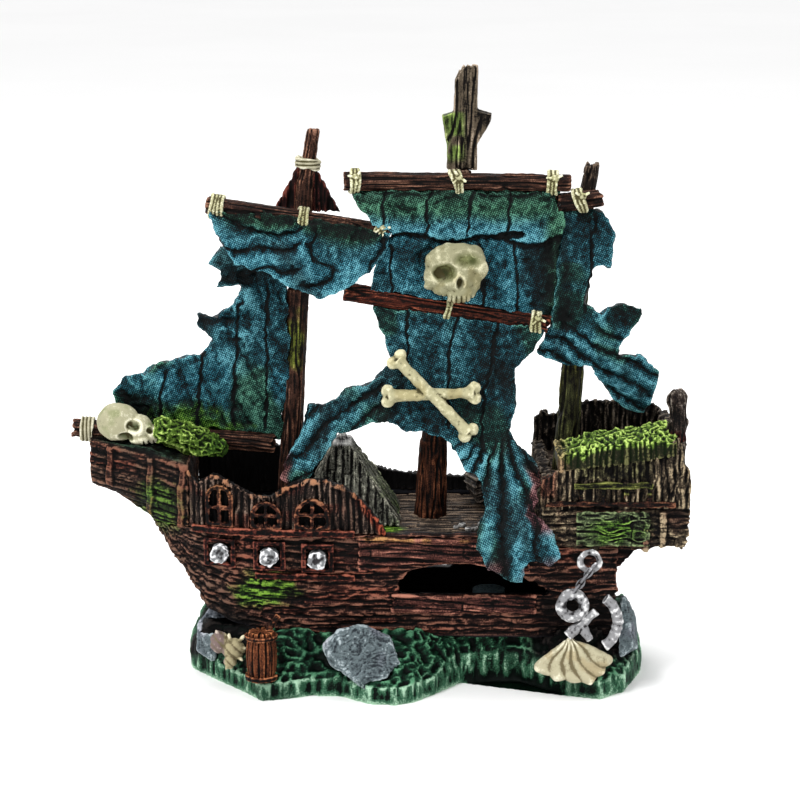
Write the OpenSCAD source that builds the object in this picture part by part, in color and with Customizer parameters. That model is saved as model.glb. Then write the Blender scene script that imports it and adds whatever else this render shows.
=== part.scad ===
// Galleon wreck ornament with a concealed air outlet.
// X runs from bow (-) to stern (+), -Y is the front, +Z is up.
// The origin is on the underside of the base.

/* [Hull] */
// Half of the hull's greatest width
half_beam = 27; // [24:1:30]
// Thickness of the cast hull wall
wall = 3; // [2.5:0.5:3.5]
// Height of the top of the lower hull
deck_edge_z = 44; // [43:0.5:45]
// Thickness of the main deck
deck_t = 2.5; // [2:0.5:3]
// Height that trim stands off the hull
trim_t = 1.2; // [0.8:0.2:1.6]

/* [Rig] */
// Radius of the yards
yard_r = 2.6; // [2:0.2:3]
// Thickness of the cast sails
sail_t = 3; // [2.4:0.2:3.6]
// Distance of the yards' axes in front of the masts
yard_y = 5.5; // [5:0.5:6]

/* [Air fitting] */
// Radius of the air nipple, for 4 mm airline
nipple_r = 2.2; // [2:0.1:2.4]
// Length of the air nipple
nipple_len = 8; // [6:1:10]
// Radius of the air tube
tube_r = 2.5; // [2.2:0.1:2.8]
// Bore radius of the air passage
air_bore_r = 1.3; // [1:0.1:1.5]

/* [Hidden] */
$fn = 48;
// Sides of a round moulded detail
cast_fn = 18;
// How far each length of a mast is let into the one below, and the step left there
spar_lap = 1;
spar_step = 0.2;
// Radius of the cord in the lashings
rope_r = 0.55;
// How much thinner a yard is at its stern end
yard_taper = 0.3;
// Radius of the bowsprit
sprit_r = 2.6;
// Longer than the ship, for shapes that are cut to length
far = 200;
// Ends of the hull and the height its form is drawn up to
hull_x0 = -79.5;
hull_x1 = 64;
hull_top = 82;
// Place of the air passage, and where the inlet's flange sits at the back of the base
air_x = 30;
air_z = 6;
air_back_y = 30.5;
flange_r = 4;
deck_z = deck_edge_z - deck_t - 1;
// Half the width of the stern castle, its wall and the top of its deck
castle_y = 25.5;
castle_wall = 3;
poop_z = 56;

// Stem and keel line: distance along the hull, height
KEEL = [
    [-80, 53], [-76.5, 52.5], [-65.5, 48], [-63, 44.5], [-59, 37], [-55, 32], [-52, 24.5],
    [-47.5, 20], [-41, 16.5], [-32, 14.5], [-20, 13.5], [70, 12.5]
];
// Plan of the hull at deck level: distance along the hull, share of the half beam
PLAN = [
    [-80, 0.26], [-70, 0.42], [-60, 0.58], [-50, 0.76], [-40, 0.88], [-25, 0.96], [-5, 1],
    [45, 1], [70, 0.9]
];
// Plan of the base, starting at the bow and going round the front
BASE_PLAN = [
    [-54.5, 11], [-53, -5.5], [-45.5, -16], [-37, -27], [-32, -34.5], [-24.5, -32.5], [-19, -30],
    [-11, -30.5], [-3, -37], [4, -38], [9, -35.5], [14.5, -29], [21.5, -19.5], [30, -17],
    [38, -17], [44.5, -23], [51, -30.5], [59, -33], [66, -26.5], [72, -9], [73.5, 6.5],
    [69, 22], [58, 31], [42, 34], [36, 30.5], [24, 30.5], [16, 33], [0, 36], [-18, 33],
    [-34, 31], [-47, 24]
];
// Height and share of the slope from the rim to the crown of the base
BASE_RINGS = [[0, 0], [5, 0], [9, 0.4], [13, 0.8], [16, 1]];

// Mast lines, foot to top, as [x, y, z]
FORE_MAST = [[-26, 0, 41], [-22.5, 0, 106], [-20.5, 0, 136], [-18, 0, 150]];
MAIN_MAST = [[13.5, 0, 41], [14.5, 0, 64], [22, 0, 139]];
MIZZEN_MAST = [[50.5, 0, poop_z - 2], [52.5, 0, 84], [55.5, 0, 130], [57, 0, 141]];
FORE_YARD = [[-47, -yard_y, 130], [3, -yard_y, 122.5]];
TOPSAIL_YARD = [[-10, -yard_y, 136.5], [51, -yard_y, 136]];
MAIN_YARD = [[-10, -yard_y, 106.5], [46, -yard_y, 97.5]];
MIZZEN_YARD = [[47, -yard_y, 130.5], [60, -yard_y, 132]];
BOWSPRIT = [[-85, -2, 68], [-29, -2, 63.5]];
// Lashings: yard, share of its length
LASHINGS = [
    [FORE_YARD, 0.06], [FORE_YARD, 0.52], [FORE_YARD, 0.94], [TOPSAIL_YARD, 0.05],
    [TOPSAIL_YARD, 0.5], [TOPSAIL_YARD, 0.92], [MAIN_YARD, 0.5], [MAIN_YARD, 0.93],
    [MIZZEN_YARD, 0.5]
];
// Windows: centre, width, height
WINDOWS = [[-43.3, 7.5, 11.5], [-30.7, 8.5, 7.5], [-18.3, 9.4, 8.5]];
window_z = 45.5;
// Gun ports: centre, height of the axis
GUNS = [[-43.5, 37.8], [-30, 37.5], [-17, 37]];
gun_r = 2.4;

function lerp(a, b, t) = a + (b - a) * t;
function clamp(v, lo, hi) = min(hi, max(lo, v));
function flip(list) = [for (i = [len(list) - 1 : -1 : 0]) list[i]];
function keel_z(x) = lookup(x, KEEL);
function beam(x) = half_beam * lookup(x, PLAN);
// The side rises from a narrower floor to full width at the deck edge
function side(x, z) =
    beam(x) * (0.68 + 0.32 * sin(90 * clamp((z - keel_z(x)) / (deck_edge_z - keel_z(x) + 12), 0, 1)));

// One ring of the hull at distance x, drawn in by inset
function hull_ring(x, inset, levels = 5) =
    let (
        low = keel_z(x) + inset,
        zs = concat([for (j = [0 : levels - 1]) lerp(low, max(low + 6, 56), j / (levels - 1))], [hull_top]),
        half = [for (z = zs) [max(1.5, side(x, z) - inset), z]]
    )
    concat([for (p = half) [x, -p[0], p[1]]], [for (p = flip(half)) [x, p[0], p[1]]]);

// Closed skin through rings that all have the same number of points
module loft(rings) {
    m = len(rings[0]);
    last = len(rings) - 1;
    sides = [
        for (i = [0 : last - 1], j = [0 : m - 1])
            let (k = (j + 1) % m, a = i * m + j, b = i * m + k, c = a + m, d = b + m)
            each [[a, b, c], [b, d, c]]
    ];
    start_cap = [for (j = [1 : m - 2]) [0, j + 1, j]];
    end_cap = [for (j = [1 : m - 2]) [last * m, last * m + j, last * m + j + 1]];
    polyhedron([for (r = rings) each r], concat(sides, start_cap, end_cap));
}

module hull_solid(inset = 0, stations = 18) {
    loft([
        for (i = [0 : stations])
            hull_ring(lerp(hull_x0 + inset, hull_x1 - inset, i / stations), inset)
    ]);
}

// The hull up to its rail, with an allowance for the strakes on it
module hull_below_rail(t) {
    intersection() {
        hull_solid(-t);
        block([-90, -60, 0], [90, 60, deck_edge_z]);
    }
}

// An outline in X and Z, made solid between two values of Y
module prism_y(pts, y0, y1) {
    translate([0, y1, 0])
        rotate([90, 0, 0])
            linear_extrude(y1 - y0)
                polygon(pts);
}

module block(lo, hi) {
    translate(lo)
        cube(hi - lo);
}

// Places its children at p, with their +Z pointing at q
module along(p, q) {
    v = q - p;
    translate(p)
        rotate([0, acos(v[2] / norm(v)), atan2(v[1], v[0])])
            children();
}

module rod(p, q, r1, r2) {
    along(p, q)
        cylinder(h = norm(q - p), r1 = r1, r2 = r2);
}

// A mast or other chain of tapering lengths, each stepped into the one below
module spar(points, radii) {
    for (i = [0 : len(points) - 2]) {
        let_in = i > 0 ? 1 : 0;
        foot = points[i] - [0, 0, spar_lap * let_in];
        rod(foot, points[i + 1], radii[i] - spar_step * let_in, radii[i + 1]);
    }
}

module ring(major, minor) {
    rotate_extrude()
        translate([major, 0])
            circle(minor);
}

// Moulded pieces with no bore or pin are carried as one plain mesh, at their own size
module cast() {
    $fn = cast_fn;
    resize([0, 0, 0])
        children();
}

// Trim that follows the hull: an outline on the near or the far side
module on_hull(pts, side_sign, t = trim_t) {
    cast()
        difference() {
            intersection() {
                hull_solid(-t);
                prism_y(pts, side_sign < 0 ? -60 : 4, side_sign < 0 ? -4 : 60);
            }
            hull_solid(0);
        }
}

function box_outline(x0, x1, z0, z1) = [[x0, z0], [x1, z0], [x1, z1], [x0, z1]];
function belly_path(z0, z1, y, belly, n = 8) =
    [for (i = [0 : n]) [-y - belly * sin(180 * i / n), lerp(z0, z1, i / n)]];

// A sheet of the sail's thickness that follows a path of [y, z] and has the given outline
module sail_sheet(outline, path, t = sail_t) {
    intersection() {
        prism_y(outline, -60, 40);
        translate([-100, 0, 0])
            rotate([90, 0, 90])
                linear_extrude(far)
                    polygon(concat(path, flip([for (p = path) p + [t, 0]])));
    }
}

// ---- Base ----

function base_crown(p) = [p[0] * 0.93 + 0.6, sign(p[1]) * clamp(abs(p[1]) * 0.6, 15, 22)];
function base_ring(z, share) =
    [for (p = BASE_PLAN) let (q = lerp(p, base_crown(p), share)) [q[0], q[1], z]];

module base_body() {
    loft([for (r = flip(BASE_RINGS)) base_ring(r[0], r[1])]);
}

// The passage that the air tube fills, from the back of the base up into the hull
module air_route(r) {
    rod([air_x, air_back_y - 2, air_z], [air_x, 0, air_z], r, r);
    rod([air_x, 0, air_z - r], [air_x, 0, keel_z(air_x) + wall + 0.5], r, r);
}

module base() {
    color("darkgreen")
        difference() {
            cast()
                difference() {
                    base_body();
                    hull_solid(0);
                }
            air_route(tube_r);
            rod([air_x, air_back_y - 2, air_z], [air_x, air_back_y + 9, air_z], flange_r, flange_r);
        }
}

// A stone or lump: the convex shape round a few corners
module stone(corners, size = 1.2) {
    hull()
        for (p = corners)
            translate(p)
                cube(size, center = true);
}

module rock_front() {
    color("slategray")
        cast()
            difference() {
                stone([
                    [-15, -27, 13], [-11, -27, 17], [-5, -26, 18.5], [2, -27, 15.5], [5, -31, 8],
                    [1, -35.5, 5], [-3, -36, 4], [-9, -34, 8], [-13, -29, 9], [0, -24, 13], [-10, -24, 13]
                ]);
                base_body();
                hull_solid(0);
            }
}

module side_rocks() {
    color("slategray")
        cast()
            difference() {
                union() {
                    stone([
                        [-50.5, -13, 8], [-50, -11, 14], [-46, -9, 20], [-43, -8, 18],
                        [-42, -12, 8], [-46, -16, 6], [-44, -4, 8], [-50, -4, 8]
                    ]);
                    stone([
                        [66, -18, 24], [69, -15, 19], [70, -14, 9], [65, -22, 9],
                        [68, -22, 12], [68.5, -6, 9], [67, -8, 20]
                    ]);
                }
                base_body();
                hull_solid(0);
            }
}

module conch_shape() {
    hull() {
        translate([-43.5, -23, 13.5])
            sphere(3, $fn = 20);
        translate([-39, -24, 11])
            sphere(2.4, $fn = 20);
        translate([-41.5, -25.5, 8])
            sphere(1.2, $fn = 16);
        translate([-36, -24, 15])
            sphere(0.7, $fn = 12);
    }
}

module conch_shell() {
    color("wheat")
        cast()
            difference() {
                conch_shape();
                base_body();
                barrel_shape();
            }
}

module scallop_shape() {
    hull() {
        translate([42.5, -30, 8.5])
            sphere(1.2, $fn = 16);
        translate([51, -28.5, 14.5])
            sphere(1.4, $fn = 16);
        translate([61, -30, 10.5])
            sphere(1.4, $fn = 16);
        translate([56, -33.5, 5.8])
            sphere(1.2, $fn = 16);
        translate([47, -32, 6.5])
            sphere(1.2, $fn = 16);
    }
}

module scallop_shell() {
    color("cornsilk")
        cast()
            difference() {
                scallop_shape();
                base_body();
            }
}

barrel_foot = [-32, -31, 5];
barrel_h = 13.5;

module barrel_shape() {
    translate(barrel_foot)
        rotate_extrude()
            polygon(concat(
                [[0, 0]],
                [for (i = [0 : 6]) [3.3 + 0.8 * sin(30 * i), barrel_h * i / 6]],
                [[0, barrel_h]]
            ));
}

module hoop_band(z, h) {
    translate(barrel_foot + [0, 0, z])
        cylinder(r = 4.5, h = h);
}

module barrel() {
    color("sienna")
        cast()
            difference() {
                barrel_shape();
                base_body();
                hull_solid(0);
            }
}

module barrel_hoops() {
    color("saddlebrown")
        cast()
            difference() {
                union() {
                    hoop_band(0.4, 1.3);
                    hoop_band(barrel_h - 1.9, 1.1);
                }
                barrel_shape();
                base_body();
                hull_solid(0);
            }
}

module barrel_stave() {
    color("sienna")
        cast()
            difference() {
                rod([-30.5, -30.5, barrel_foot[2] + barrel_h - 0.5], [-27.5, -28, 22], 0.9, 0.8);
                barrel_shape();
                hull_solid(0);
            }
}

// ---- Anchor ----

hawse = [56, -27.6, 37];
anchor_eye = [51.5, -28.6, 25];

module hawse_ring() {
    color("silver")
        cast()
            difference() {
                translate(hawse)
                    rotate([90, 0, 0])
                        ring(2.6, 0.8);
                hull_solid(0);
            }
}

module anchor_chain(links = 5) {
    top = hawse + [0, -1.2, -1.8];
    low = anchor_eye + [0.5, -0.6, 3.6];
    color("gainsboro")
        for (i = [0 : links - 1])
            translate(lerp(top, low, i / (links - 1)))
                rotate([90, 35, 90 * (i % 2)])
                    ring(0.85, 0.4);
}

module anchor_ring_shape() {
    translate(anchor_eye)
        rotate([80, 10, 0])
            ring(3.1, 1.5);
}

module anchor_ring() {
    color("silver")
        cast()
            difference() {
                anchor_ring_shape();
                hull_solid(0);
            }
}

module stock_shape() {
    rod([50.2, -29, 16.6], [57.8, -28.5, 23.4], 1.5, 1.1);
    rod([56.3, -29, 15.4], [53.2, -28.6, 20.4], 1.1, 1.5);
}

module anchor_stock() {
    color("silver")
        cast()
            difference() {
                stock_shape();
                scallop_shape();
                hull_solid(0);
                base_body();
                anchor_ring_shape();
            }
}

module anchor_arms() {
    color("silver")
        cast()
            difference() {
                translate([55.5, -29, 20.5])
                    rotate([90, 0, 0])
                        rotate([0, 0, -55])
                            rotate_extrude(angle = 110)
                                translate([8.2, 0])
                                    circle(1.5);
                base_body();
                scallop_shape();
                hull_solid(0);
            }
}

// ---- Hull ----

near_hole = [
    [5, 26], [46, 26], [42, 29.5], [36, 32.5], [30, 34.3], [22, 35.2], [14, 34.8], [8, 33], [5, 30]
];
far_hole = [[5, 22.5], [20, 22.5], [21, 28], [18, 33], [7, 33]];

module gun_bores(r = gun_r) {
    for (g = GUNS, s = [-1, 1])
        rod([g[0], s * (beam(g[0]) - 9), g[1]], [g[0], s * (beam(g[0]) + 1.2), g[1]], r, r);
}

module hull_shell() {
    difference() {
        intersection() {
            hull_solid(0);
            block([-90, -50, 0], [90, 50, deck_edge_z]);
        }
        intersection() {
            hull_solid(wall);
            block([-56, -50, 0], [90, 50, 60]);
        }
        block([43, -50, 40], [90, 50, 60]);
        prism_y(near_hole, -60, 0);
        prism_y(far_hole, 0, 60);
        stern_counter_shape();
    }
}

module lower_hull() {
    color("saddlebrown")
        difference() {
            cast()
                hull_shell();
            gun_bores();
            air_route(tube_r);
        }
}

BEAK_SIDE = [[-90, deck_edge_z], [-52, deck_edge_z], [-52, 61.5], [-62, 65], [-79, 66], [-90, 66]];

module beak() {
    color("maroon")
        difference() {
            intersection() {
                hull_solid(0);
                prism_y(BEAK_SIDE, -60, 60);
            }
            sprit_shape();
        }
}

BULWARK_NEAR = [
    [-52, deck_edge_z], [-52, 60], [-49.5, 56.5], [-45, 59.5], [-39, 57], [-33.5, 54], [-29.5, 54],
    [-24, 57.5], [-21.5, 58.5], [-15, 59], [-9.5, 57], [-5.5, 54], [-1.5, 49], [1.5, deck_edge_z]
];
BULWARK_FAR = [
    [-52, deck_edge_z], [-52, 60], [-44, 58], [-36, 59], [-28, 57], [-20, 58.5], [-11, 57], [-5, 52],
    [1, 50], [12, 48.5], [24, 48], [36, 47], [36, deck_edge_z]
];

module bulwark(outline, y0, y1) {
    color("maroon")
        cast()
            difference() {
                intersection() {
                    hull_solid(0);
                    prism_y(outline, y0, y1);
                }
                hull_solid(wall);
            }
}

module bulwark_near() {
    bulwark(BULWARK_NEAR, -60, -4);
}

module bulwark_far() {
    bulwark(BULWARK_FAR, 4, 60);
}

module main_deck() {
    color("dimgray")
        difference() {
            intersection() {
                hull_solid(wall);
                block([-52, -50, deck_z], [43, 50, deck_z + deck_t]);
            }
            fore_mast();
            main_mast();
        }
}

module waist_strake() {
    lower_edge = [for (i = [0 : 6]) [lerp(-6, 40, i / 6), 33.5 + 2.6 * sin(30 * i)]];
    color("brown") {
        on_hull(concat(lower_edge, [[40, 43], [-6, 43]]), -1, 1.6);
        on_hull(box_outline(3, 42, 20.5, 26), -1, 0.8);
        on_hull(box_outline(-2, 40, 35.5, 43), 1, 1.6);
    }
}

module wales() {
    color("brown")
        for (s = [-1, 1]) {
            on_hull([[-51, 43.2], [-7, 43.2], [-7, 45.2], [-51, 45.2]], s);
            on_hull([[-34, 30.6], [-7, 30.6], [-7, 32.4], [-34, 32.4]], s);
        }
}

module arch_2d(w, h) {
    translate([-w / 2, 0])
        square([w, h - w / 2]);
    translate([0, h - w / 2])
        circle(w / 2);
}

module window_2d(w, h, rim = 1.1) {
    difference() {
        arch_2d(w, h);
        translate([0, rim])
            arch_2d(w - 2 * rim, h - 2 * rim);
    }
    translate([-0.45, 0])
        square([0.9, h - 0.4]);
    translate([-w / 2 + 0.4, h * 0.42])
        square([w - 0.8, 0.9]);
}

module window_frames() {
    color("brown")
        cast()
            difference() {
                intersection() {
                    hull_solid(-trim_t);
                    for (w = WINDOWS, s = [-1, 1])
                        translate([w[0], s < 0 ? -10 : 40, window_z])
                            rotate([90, 0, 0])
                                linear_extrude(30)
                                    window_2d(w[1], w[2], $fn = 20);
                }
                hull_solid(0);
            }
}

module port_2d() {
    difference() {
        square([8.6, 8.2], center = true);
        square([6.2, 6], center = true);
    }
}

module gunport_frames() {
    color("brown")
        cast()
            difference() {
                intersection() {
                    hull_solid(-trim_t);
                    for (g = GUNS, s = [-1, 1])
                        translate([g[0], s < 0 ? -8 : 40, g[1]])
                            rotate([90, 0, 0])
                                linear_extrude(32)
                                    port_2d();
                }
                hull_solid(0);
            }
}

module cannons() {
    color("silver")
        difference() {
            gun_bores();
            for (g = GUNS, s = [-1, 1])
                rod([g[0], s * (beam(g[0]) - 4), g[1]], [g[0], s * (beam(g[0]) + 2), g[1]], 1.1, 1.1);
        }
}

// ---- Stern castle ----

CASTLE_NEAR = [
    [43, 40], [81.5, 39.7], [83, 48], [82.4, 59], [79.5, 69.5], [69, 66.5], [57, 64], [48, 61.5], [43, 59]
];
CASTLE_FAR = [
    [43, 40], [81.5, 39.7], [83, 48], [82.4, 59], [79, 68.5], [73, 72], [66, 70], [59, 70.5],
    [53, 67], [48.5, 66], [46, 67.5], [43, 65]
];

module castle_side_near() {
    color("saddlebrown")
        prism_y(CASTLE_NEAR, -castle_y, -castle_y + castle_wall);
}

module castle_side_far() {
    color("saddlebrown")
        prism_y(CASTLE_FAR, castle_y - castle_wall, castle_y);
}

module transom() {
    inner = castle_y - castle_wall;
    color("saddlebrown")
        block([78.5, -inner, 40], [81.5, inner, 68]);
}

module castle_front() {
    inner = castle_y - castle_wall;
    color("sienna")
        block([43, -inner, 40], [46, inner, 59]);
}

module poop_deck() {
    inner = castle_y - castle_wall;
    color("dimgray")
        difference() {
            block([46, -inner, poop_z - 2], [78.5, inner, poop_z]);
            mizzen_mast();
        }
}

module stern_counter_shape() {
    prism_y([[58, 32], [63, 32], [66, 35], [71, 40], [58, 40]], -21, 21);
}

module stern_counter() {
    color("maroon")
        stern_counter_shape();
}

// The roof rests on the near side and the transom and rises to the middle of the ship
module stern_roof() {
    color("olivedrab")
        difference() {
            intersection() {
                prism_y(
                    [[47, 61.2], [57, 64], [69, 66.5], [79, 69.3], [79, 76], [69, 73], [57, 70], [47, 66]],
                    -26.5, -9
                );
                rotate([8, 0, 0])
                    block([40, -40, 55], [90, 0, 76]);
            }
            castle_side_near();
            transom();
            mizzen_mast();
            post_shape();
        }
}

module stern_door() {
    color("olive")
        for (i = [0 : 3])
            block([52.5 + i * 5, -castle_y - 0.8, 40.8], [57 + i * 5, -castle_y, 50.2]);
}

module castle_rails() {
    color("darkolivegreen") {
        block([51.5, -castle_y - 1.2, 56.5], [73, -castle_y, 58.3]);
        block([44, -castle_y - 1.2, 51.5], [79, -castle_y, 53.3]);
        for (i = [0 : 3])
            block([53 + i * 6, -castle_y - 0.8, 53.3], [54.4 + i * 6, -castle_y, 56.5]);
    }
}

module post_shape() {
    spar([[79, -18.5, 66], [80, -18.5, 74], [79.4, -18.5, 79.5]], [3, 2.6, 2.2]);
    translate([79.4, -18.5, 79.5])
        sphere(2.8);
}

module taffrail_post() {
    color("saddlebrown")
        difference() {
            post_shape();
            transom();
            castle_side_near();
        }
}

// ---- Deck fittings ----

module deckhouse() {
    floor_z = deck_z + deck_t;
    color("gray")
        union() {
            hull() {
                block([-22, -14, floor_z], [5, 13, floor_z + 1]);
                block([-13, -6, 62], [-8.5, 5, 64.5]);
            }
            translate([-10.7, 0, 65.2])
                sphere(1.3);
        }
}

module deck_barrel() {
    color("darkgray")
        translate([32, 4, deck_z + deck_t + 6.2])
            rotate([-90, 0, 12])
                cylinder(r = 6.2, h = 13);
}

module silver_coins() {
    floor_z = deck_z + deck_t;
    color("silver")
        for (i = [0 : 6])
            translate([20.5 + 1.7 * i, -16 + 3 * sin(110 * i), floor_z])
                cylinder(r = 0.8 + 0.15 * (i % 3), h = 0.8);
}

// ---- Rig ----

module fore_mast() {
    color("sienna")
        spar(FORE_MAST, [3.2, 3, 2.2, 1.8]);
}

module shroud_plate() {
    color("maroon")
        difference() {
            prism_y([[-29, 128], [-22.5, 140], [-18, 140], [-10.5, 127]], 0.4, 3);
            fore_mast();
        }
}

// A band between two shares of the way from p to q
module spar_band(p, q, from, to, r) {
    rod(lerp(p, q, from), lerp(p, q, to), r, r);
}

module spar_bands() {
    color("ivory")
        difference() {
            union() {
                spar_band(FORE_MAST[2], FORE_MAST[3], 0.24, 0.43, 3.3);
                spar_band(BOWSPRIT[0], BOWSPRIT[1], 0.045, 0.105, 3.4);
            }
            fore_mast();
            shroud_plate();
            bowsprit();
            beak();
        }
}

module main_mast() {
    color("sienna")
        spar(MAIN_MAST, [4.6, 3.8, 2.6]);
}

module main_top() {
    color("olivedrab")
        difference() {
            prism_y(
                [
                    [18, 139], [18, 145], [16.5, 153.5], [19.5, 154.5], [20, 163], [22, 167.5],
                    [26, 167], [26, 155], [30, 154], [29.5, 151.5], [26, 146], [26, 139]
                ],
                -2.4, 2.4
            );
            main_mast();
        }
}

module mizzen_mast() {
    color("olive")
        spar(MIZZEN_MAST, [3.4, 3.2, 2.4, 2.2]);
}

module sprit_shape() {
    rod(BOWSPRIT[0], BOWSPRIT[1], sprit_r, sprit_r);
}

module bowsprit() {
    color("sienna")
        difference() {
            sprit_shape();
            fore_mast();
        }
}

module yard_shape(line) {
    rod(line[0], line[1], yard_r, yard_r - yard_taper);
}

module yard(line) {
    difference() {
        yard_shape(line);
        fore_mast();
        main_mast();
        main_top();
        mizzen_mast();
    }
}

module fore_yard() {
    color("saddlebrown")
        yard(FORE_YARD);
}

module topsail_yard() {
    color("saddlebrown")
        yard(TOPSAIL_YARD);
}

module main_yard() {
    color("saddlebrown")
        yard(MAIN_YARD);
}

module mizzen_yard() {
    color("saddlebrown")
        difference() {
            yard(MIZZEN_YARD);
            topsail_yard();
        }
}

module lashing(line, share) {
    p = lerp(line[0], line[1], share);
    q = line[1];
    along(p, q)
        for (i = [-1, 1])
            translate([0, 0, rope_r * i])
                ring(yard_r + rope_r, rope_r);
}

module yard_lashings() {
    color("ivory")
        for (l = LASHINGS)
            lashing(l[0], l[1]);
}

module all_yards() {
    for (l = [FORE_YARD, TOPSAIL_YARD, MAIN_YARD, MIZZEN_YARD])
        yard_shape(l);
}

// What the sails are moulded round
module rig_solids() {
    all_yards();
    fore_mast();
    main_mast();
    mizzen_mast();
}

FORE_COURSE = [
    [-46, 131], [-46, 128], [-44, 122], [-39, 115], [-31, 112.5], [-24, 108.5], [-16, 105], [-10, 107.5],
    [-3, 112.5], [2, 119.5], [3, 123]
];

module fore_course() {
    color("teal")
        cast()
            difference() {
                sail_sheet(FORE_COURSE, belly_path(100, 131, yard_y + 2, 2.5), sail_t + 1);
                rig_solids();
            }
}

JIB = [
    [-26, 112], [-39.5, 117.5], [-43, 118], [-47, 113.5], [-43.5, 111.5], [-44.5, 107], [-37.5, 108],
    [-40.5, 102], [-45, 99], [-50, 99.5], [-49.5, 97], [-45.5, 93], [-49.5, 88], [-60, 86.5],
    [-64.5, 83], [-70.5, 82.5], [-73.5, 78.5], [-72, 66.5], [-24, 64]
];

module jib_blank() {
    difference() {
        sail_sheet(JIB, belly_path(60, 120, 1, 2));
        rig_solids();
        beak();
        sprit_shape();
    }
}

module jib() {
    color("teal")
        cast()
            difference() {
                jib_blank();
                fore_course();
            }
}

MAIN_TOPSAIL = [
    [-9, 136], [-6, 130], [-2, 124], [-1, 116], [-3, 105.5], [46, 97.5], [47, 112], [49, 124], [48, 136]
];

module main_topsail() {
    color("teal")
        cast()
            difference() {
                sail_sheet(MAIN_TOPSAIL, belly_path(97, 137, yard_y, 2.5));
                rig_solids();
                fore_course();
            }
}

COURSE_PATH = [
    [-5.5, 106], [-8, 96], [-10, 85], [-11.5, 76], [-14, 68], [-18.5, 60], [-24, 53.5], [-30.5, 47],
    [-32, 42], [-32, 30]
];
MAIN_COURSE = [
    [-3, 105], [0.5, 96.5], [2.5, 88], [-2.5, 82.5], [-9, 81], [-12, 78], [-16, 76.5], [-19.5, 77],
    [-22.5, 67], [-26, 62.5], [-27, 58], [-22.5, 54.5], [-18.5, 59], [-15, 64], [-12, 69],
    [-8.5, 69], [-2, 72], [4, 71.5], [7, 68.5],
    [10.5, 69.5], [18, 67], [22.5, 60], [27, 57], [28, 51], [26, 47], [26, 42], [29, 36], [34, 33],
    [37.5, 32], [39, 38.5], [45.5, 36.5], [48, 39.5], [46.5, 44.5], [41, 50.5], [43, 57],
    [41.5, 62], [37.5, 65], [35, 69.5], [36.5, 76], [36, 85.5], [41.5, 91], [45, 98]
];

module main_course() {
    color("teal")
        cast()
            difference() {
                sail_sheet(MAIN_COURSE, COURSE_PATH);
                rig_solids();
                main_topsail();
                hull_below_rail(1.6);
            }
}

MIZZEN_SAIL = [
    [47, 131], [59.5, 128], [63, 122.5], [62.5, 113], [57, 113], [55.5, 103], [60, 100], [64.5, 103],
    [70.5, 101.5], [70.5, 99], [64.5, 91.5], [64, 89], [70.5, 89], [75.5, 84.5], [75.5, 80.5],
    [74, 76.5], [71.5, 73], [67.5, 73], [62.5, 77], [58, 86], [50.5, 86], [44.5, 88], [42, 90],
    [46, 97]
];

module mizzen_sail() {
    color("teal")
        cast()
            difference() {
                sail_sheet(MIZZEN_SAIL, belly_path(70, 134, yard_y - 1, 2));
                rig_solids();
                main_topsail();
                main_course();
                stern_roof();
            }
}

// ---- Figures and growth ----

module skull_emblem() {
    color("beige")
        cast()
            difference() {
                union() {
                    translate([19, -10, 114.5])
                        sphere(6.2);
                    translate([21.5, -10, 108.5])
                        sphere(3.8);
                }
                main_topsail();
                main_yard();
                block([0, -10.3, 95], [40, 10, 130]);
            }
}

module bone(p, q) {
    rod(p, q, 1.3, 1.3);
    for (e = [p, q], s = [-1, 1])
        translate(e + [0, 0, 1.2 * s])
            sphere(1.7);
}

module crossbones() {
    color("beige")
        cast()
            difference() {
                union() {
                    bone([4.5, -11.5, 89], [23.5, -13.5, 69.5]);
                    bone([2, -12.2, 79], [25, -12.2, 80]);
                }
                main_course();
            }
}

module figurehead_skull() {
    color("beige")
        cast()
            difference() {
                union() {
                    translate([-71.5, -7, 70.5])
                        sphere(5.6);
                    translate([-64, -8, 68.5])
                        sphere(3.8);
                }
                beak();
                jib_blank();
                sprit_shape();
            }
}

module moss_bow() {
    color("yellowgreen")
        cast()
            difference() {
                hull() {
                    translate([-59, -9, 69])
                        sphere(3.5, $fn = 20);
                    translate([-52, -8, 66])
                        sphere(3.8, $fn = 20);
                    translate([-44, -8, 63.5])
                        sphere(2.4, $fn = 20);
                }
                beak();
                bulwark_near();
                jib_blank();
                figurehead_skull();
                sprit_shape();
            }
}

// ---- Air supply ----

air_flange_y = air_back_y + 0.5;
air_flange_t = 2.5;
stone_z = keel_z(air_x) + wall + 0.5;
stone_h = 5;

module air_inlet() {
    back = air_flange_y - air_flange_t;
    color("lightgray")
        difference() {
            union() {
                rod([air_x, back, air_z], [air_x, air_flange_y, air_z], flange_r, flange_r);
                rod([air_x, back, air_z], [air_x, air_flange_y + nipple_len, air_z], nipple_r, nipple_r);
            }
            rod([air_x, back - 1, air_z], [air_x, air_back_y + 20, air_z], air_bore_r, air_bore_r);
        }
}

module air_tube() {
    inner_end = air_flange_y - air_flange_t;
    color("whitesmoke")
        difference() {
            union() {
                rod([air_x, inner_end, air_z], [air_x, 0, air_z], tube_r, tube_r);
                rod([air_x, 0, air_z - tube_r], [air_x, 0, stone_z], tube_r, tube_r);
            }
            rod([air_x, inner_end + 1, air_z], [air_x, -air_bore_r, air_z], air_bore_r, air_bore_r);
            rod([air_x, 0, air_z - air_bore_r], [air_x, 0, stone_z + 1], air_bore_r, air_bore_r);
        }
}

module air_stone() {
    color("cadetblue")
        translate([air_x, 0, stone_z])
            cylinder(r = 4.5, h = stone_h);
}

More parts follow.
